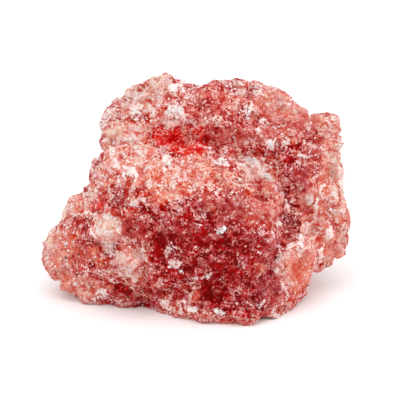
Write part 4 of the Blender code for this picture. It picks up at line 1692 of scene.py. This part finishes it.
@dataclass
class GrainCrop:
    """A crop of loose grains that sit in the skin, joined into one piece.

    Attributes:
        name: The piece's name.
        habit: How its grains are shaped.
        count: How many there are.
        small: The smallest grain's size, in millimetres.
        large: The largest grain's size, in millimetres.
        finish: The grains' finish.
        likes: How strongly the grains gather on each mineral.
        elsewhere: How strongly they gather where there is none of it.
        tint: The colour that they lean to.
        lean: How far they lean to it, least and most.
        sunk: What share of a grain's size lies below the skin.
        seed: What its random places are drawn from.
        piece: The finished object.
    """

    name: str
    habit: Habit
    count: int
    small: float
    large: float
    finish: GrainFinish
    likes: dict[Mineral, float]
    elsewhere: float
    tint: Colour
    lean: tuple[float, float]
    sunk: float = 0.4
    seed: int = 1
    piece: bpy.types.Object | None = None

    def pattern_grain(self, turn: int) -> tuple[np.ndarray, list[list[int]]]:
        """Shape one grain of the habit, of size 1 about the origin.

        Args:
            turn: Which of the grains it is.

        Returns:
            Its vertices, a row each, and its faces.
        """
        draw = np.random.default_rng(self.seed * 100 + turn)
        grain = bmesh.new()
        if self.habit is Habit.CHIP:
            bmesh.ops.create_icosphere(grain, subdivisions=1, radius=0.5)
            for vertex in grain.verts:
                vertex.co *= draw.uniform(*GRAIN.chip_corner)
        elif self.habit is Habit.BLOCK:
            bmesh.ops.create_cube(grain, size=GRAIN.block_side)
            for _ in range(GRAIN.splits):
                normal = Vector(draw.normal(size=3)).normalized()
                self.split_off(grain, normal * draw.uniform(*GRAIN.split_reach), normal)
        else:
            foot, neck, height = GRAIN.point_foot, GRAIN.point_neck, GRAIN.point_height
            bmesh.ops.create_cone(
                grain, cap_ends=True, segments=6, radius1=foot, radius2=neck, depth=height
            )
            top = max(grain.faces, key=lambda face: face.calc_center_median().z)
            tip = bmesh.ops.poke(grain, faces=[top])["verts"][0]
            shift = GRAIN.tip_shift
            tip.co += Vector(
                (draw.uniform(-shift, shift), draw.uniform(-shift, shift), GRAIN.tip_height)
            )
        bmesh.ops.recalc_face_normals(grain, faces=grain.faces)
        grain.verts.index_update()
        corners = np.array([tuple(vertex.co) for vertex in grain.verts])
        faces = [[vertex.index for vertex in face.verts] for face in grain.faces]
        grain.free()
        return corners, faces

    def split_off(self, grain: bmesh.types.BMesh, place: Vector, normal: Vector) -> None:
        """Cut a grain along a plane, drop what is beyond it and close the cut.

        Args:
            grain: The grain.
            place: A place on the plane.
            normal: The plane's direction, towards what is dropped.
        """
        everything = list(grain.verts) + list(grain.edges) + list(grain.faces)
        bmesh.ops.bisect_plane(
            grain, geom=everything, dist=1e-5, plane_co=place, plane_no=normal, clear_outer=True
        )
        rim = [edge for edge in grain.edges if edge.is_boundary]
        if rim:
            bmesh.ops.holes_fill(grain, edges=rim, sides=0)

    def chosen(self, skin: Skin, draw: np.random.Generator) -> np.ndarray:
        """Choose the vertices of the skin that carry a grain.

        Args:
            skin: The stone's skin.
            draw: The random numbers.

        Returns:
            Their numbers.
        """
        weights = np.full(len(skin.marks["relief"]), self.elsewhere)
        for mineral, liking in self.likes.items():
            weights += liking * skin.marks[mineral.value] ** 2
        places = skin.places()
        swarm = np.array([noise.noise(Vector(place) / GRAIN.swarm) for place in places])
        weights *= np.clip(0.25 + 3.0 * swarm, 0.05, 1.0)
        weights = np.maximum(weights, 0.0)
        weights[places[:, 2] < 0.5 * self.large + 0.15] = 0.0
        return draw.choice(len(weights), self.count, replace=False, p=weights / weights.sum())

    def turned(self, normals: np.ndarray, draw: np.random.Generator) -> np.ndarray:
        """Turn each grain so that it stands roughly along the skin's normal.

        Args:
            normals: The skin's normals, a row for each grain.
            draw: The random numbers.

        Returns:
            A turning matrix for each grain.
        """
        tilt = GRAIN.upright if self.habit is Habit.POINT else GRAIN.tumbled
        rise = normals + draw.normal(size=normals.shape) * tilt * GRAIN.wander
        rise /= np.linalg.norm(rise, axis=1, keepdims=True)
        side = np.cross(rise, draw.normal(size=normals.shape))
        side /= np.linalg.norm(side, axis=1, keepdims=True)
        return np.stack([side, np.cross(rise, side), rise], axis=2)

    def build(self, skin: Skin) -> None:
        """Sow the grains on the skin and join them.

        Args:
            skin: The stone's skin.
        """
        draw = np.random.default_rng(self.seed)
        chosen = self.chosen(skin, draw)
        normals = skin.normals()[chosen]
        sizes = self.small * (self.large / self.small) ** (draw.random(self.count) ** GRAIN.skew)
        stretch = draw.uniform(*GRAIN.stretch, (self.count, 3)) * sizes[:, None]
        centres = skin.places()[chosen] + normals * (sizes * (0.5 - self.sunk) * 0.5)[:, None]
        turns = self.turned(normals, draw)
        lean = draw.uniform(*self.lean, self.count)[:, None]
        ground = skin.tints()[chosen] ** GRAIN.soak
        # Painted shade: grains where little light falls lean to the red flush.
        painted_shade = np.clip(2.0 * skin.marks["shade"][chosen, None] - 0.3, 0.0, 0.85)
        tint = np.array(self.tint[:3]) * (1.0 - painted_shade) + np.array(TINTS.flush[:3]) * painted_shade
        tints = ground * (1.0 - lean) + tint * lean
        haze = np.clip(draw.normal(*GRAIN.haze, (self.count, 1)), *GRAIN.haze_ends)
        tints = tints ** (2.0**haze)
        patterns = [self.pattern_grain(turn) for turn in range(GRAIN.patterns)]
        corners, faces, colours, start = [], [], [], 0
        for grain in range(self.count):
            shape, sides = patterns[grain % len(patterns)]
            placed = (shape * stretch[grain]) @ turns[grain].T
            height = 0.3 + 2.5 * (placed @ normals[grain]) / sizes[grain]
            height = np.clip(height, 0.0, 1.0)[:, None]
            corners.append(placed + centres[grain])
            faces.extend([start + corner for corner in side] for side in sides)
            colours.append(ground[grain] * (1.0 - height) + tints[grain] * height)
            start += len(shape)
        placed = np.concatenate(corners)
        placed[:, 2] = np.maximum(placed[:, 2], GRAIN.clearance)
        mesh = bpy.data.meshes.new(self.name)
        mesh.from_pydata((placed * MM).tolist(), [], faces)
        layer = mesh.attributes.new("tint", "FLOAT_COLOR", "POINT")
        shown = np.concatenate(colours)
        shown = np.concatenate([shown, np.ones((len(shown), 1))], axis=1)
        layer.data.foreach_set("color", shown.astype(np.float32).ravel())
        self.piece = bpy.data.objects.new(self.name, mesh)
        bpy.context.scene.collection.objects.link(self.piece)

    def dress(self) -> None:
        """Give the grains their finish and their place on the frame."""
        self.piece.data.materials.append(self.finish.material())
        settle(self.piece)


@dataclass
class Studio:
    """The floor, the light and the camera.

    Attributes:
        floor_reach: Half the floor's side, in metres.
        floor_tint: The floor's colour.
        floor_shade: Its colour where it is a little darker.
        sky: The strength of the light from all round.
        lens: The camera's focal length, in millimetres.
        sensor: The width of its sensor, in millimetres.
    """

    floor_reach: float = 3.0
    floor_tint: Colour = (0.93, 0.93, 0.93, 1.0)
    floor_shade: Colour = (0.92, 0.92, 0.92, 1.0)
    sky: float = 0.92
    lens: float = 150.0
    sensor: float = 36.0

    def lay_floor(self) -> None:
        """Lay the plain pale floor."""
        sheet = bmesh.new()
        bmesh.ops.create_grid(sheet, x_segments=1, y_segments=1, size=self.floor_reach)
        mesh = bpy.data.meshes.new("floor")
        sheet.to_mesh(mesh)
        sheet.free()
        floor = bpy.data.objects.new("floor", mesh)
        bpy.context.scene.collection.objects.link(floor)
        sketch = Sketch("pale_floor")
        cloudy = sketch.reach(sketch.cloud(40.0), 0.3, 0.7)
        tone = sketch.mix(cloudy, self.floor_tint, self.floor_shade)
        dull = {"Roughness": 0.9, "Specular IOR Level": 0.1}
        mesh.materials.append(sketch.finish(dull, {"Base Color": tone}))

    def light(self) -> None:
        """Light the stone softly from all round, and a little more from above and the front."""
        world = bpy.data.worlds.new("studio")
        world.use_nodes = True
        back = world.node_tree.nodes["Background"]
        back.inputs["Color"].default_value = (1.0, 1.0, 1.0, 1.0)
        back.inputs["Strength"].default_value = self.sky
        bpy.context.scene.world = world
        self.lamp("upper_softbox", (-0.10, -0.25, 0.75), 0.6, 2.4)
        self.lamp("left_softbox", (-0.65, -0.45, 0.35), 0.4, 1.0)
        self.lamp("right_softbox", (0.68, -0.06, 0.30), 0.5, 2.1)

    def lamp(self, name: str, place: tuple[float, float, float], side: float, power: float) -> None:
        """Hang one square softbox that points at the stone.

        Args:
            name: Its name.
            place: Where it hangs, in metres.
            side: Its side, in metres.
            power: Its power, in watts.
        """
        shine = bpy.data.lights.new(name, "AREA")
        shine.shape = "SQUARE"
        shine.size = side
        shine.energy = power
        lamp = bpy.data.objects.new(name, shine)
        lamp.location = place
        aim = Vector(SURVEY.middle) * MM - Vector(place)
        lamp.rotation_euler = aim.to_track_quat("-Z", "Y").to_euler()
        bpy.context.scene.collection.objects.link(lamp)

    def set_camera(self) -> None:
        """Stand the camera at the survey's point, level with the floor's horizon."""
        eye = bpy.data.cameras.new("camera")
        eye.lens = self.lens
        eye.sensor_width = self.sensor
        eye.clip_start = 0.01
        eye.clip_end = 20.0
        camera = bpy.data.objects.new("camera", eye)
        camera.location = SURVEY.eye()
        camera.rotation_euler = (math.radians(90.0 - SURVEY.lift_deg), 0.0, 0.0)
        bpy.context.scene.collection.objects.link(camera)
        bpy.context.scene.camera = camera

    def build(self) -> None:
        """Set up the floor, the light and the camera."""
        self.lay_floor()
        self.light()
        self.set_camera()
        bpy.context.scene.view_settings.view_transform = "Standard"


SUGARY = GrainFinish("sugary_quartz", clear=0.0, glow=0.6, gloss=0.1, rough=(0.3, 0.6))
GLASSY = GrainFinish("clear_quartz", clear=0.1, glow=0.5, gloss=0.3, rough=(0.05, 0.2))


def crops() -> list[GrainCrop]:
    """The crops of loose grains, from the coarsest to the finest.

    Returns:
        The crops.
    """
    milky = {Mineral.MILKY: 1.0, Mineral.FROST: 0.12, Mineral.BLUSH: 0.02}
    ruddy = {
        Mineral.WINE: 1.0, Mineral.MAUVE: 0.8, Mineral.ROSE: 0.6, Mineral.EMBER: 0.5, Mineral.BLOOD: -1.2
    }
    return [
        GrainCrop(
            "milky_grains", Habit.BLOCK, 800, 0.3, 0.7, SUGARY, milky, elsewhere=0.003,
            tint=TINTS.milky, lean=(0.5, 0.9), sunk=0.55, seed=3,
        ),
        GrainCrop(
            "rose_grains", Habit.CHIP, 800, 0.25, 0.6, SUGARY, ruddy, elsewhere=0.5,
            tint=TINTS.spark, lean=(0.0, 0.2), seed=5,
        ),
        GrainCrop(
            "wine_grains", Habit.CHIP, 600, 0.25, 0.5, SUGARY, ruddy, elsewhere=0.15,
            tint=TINTS.wine, lean=(0.3, 0.9), seed=7,
        ),
        GrainCrop(
            "clear_grains", Habit.POINT, 900, 0.2, 0.42, GLASSY, milky, elsewhere=0.06,
            tint=TINTS.clear, lean=(0.4, 0.95), seed=9,
        ),
    ]


def main() -> None:
    """Build the studio, the stone's skin and its grains, in that order."""
    logging.basicConfig(level=logging.INFO, format="%(name)s: %(message)s")
    Studio().build()
    skin = Skin()
    skin.build()
    skin.dress()
    LOG.info("%s: %d faces", skin.name, len(skin.piece.data.polygons))
    for crop in crops():
        crop.build(skin)
        crop.dress()
        LOG.info("%s: %d faces", crop.name, len(crop.piece.data.polygons))


if __name__ == "__main__":
    main()
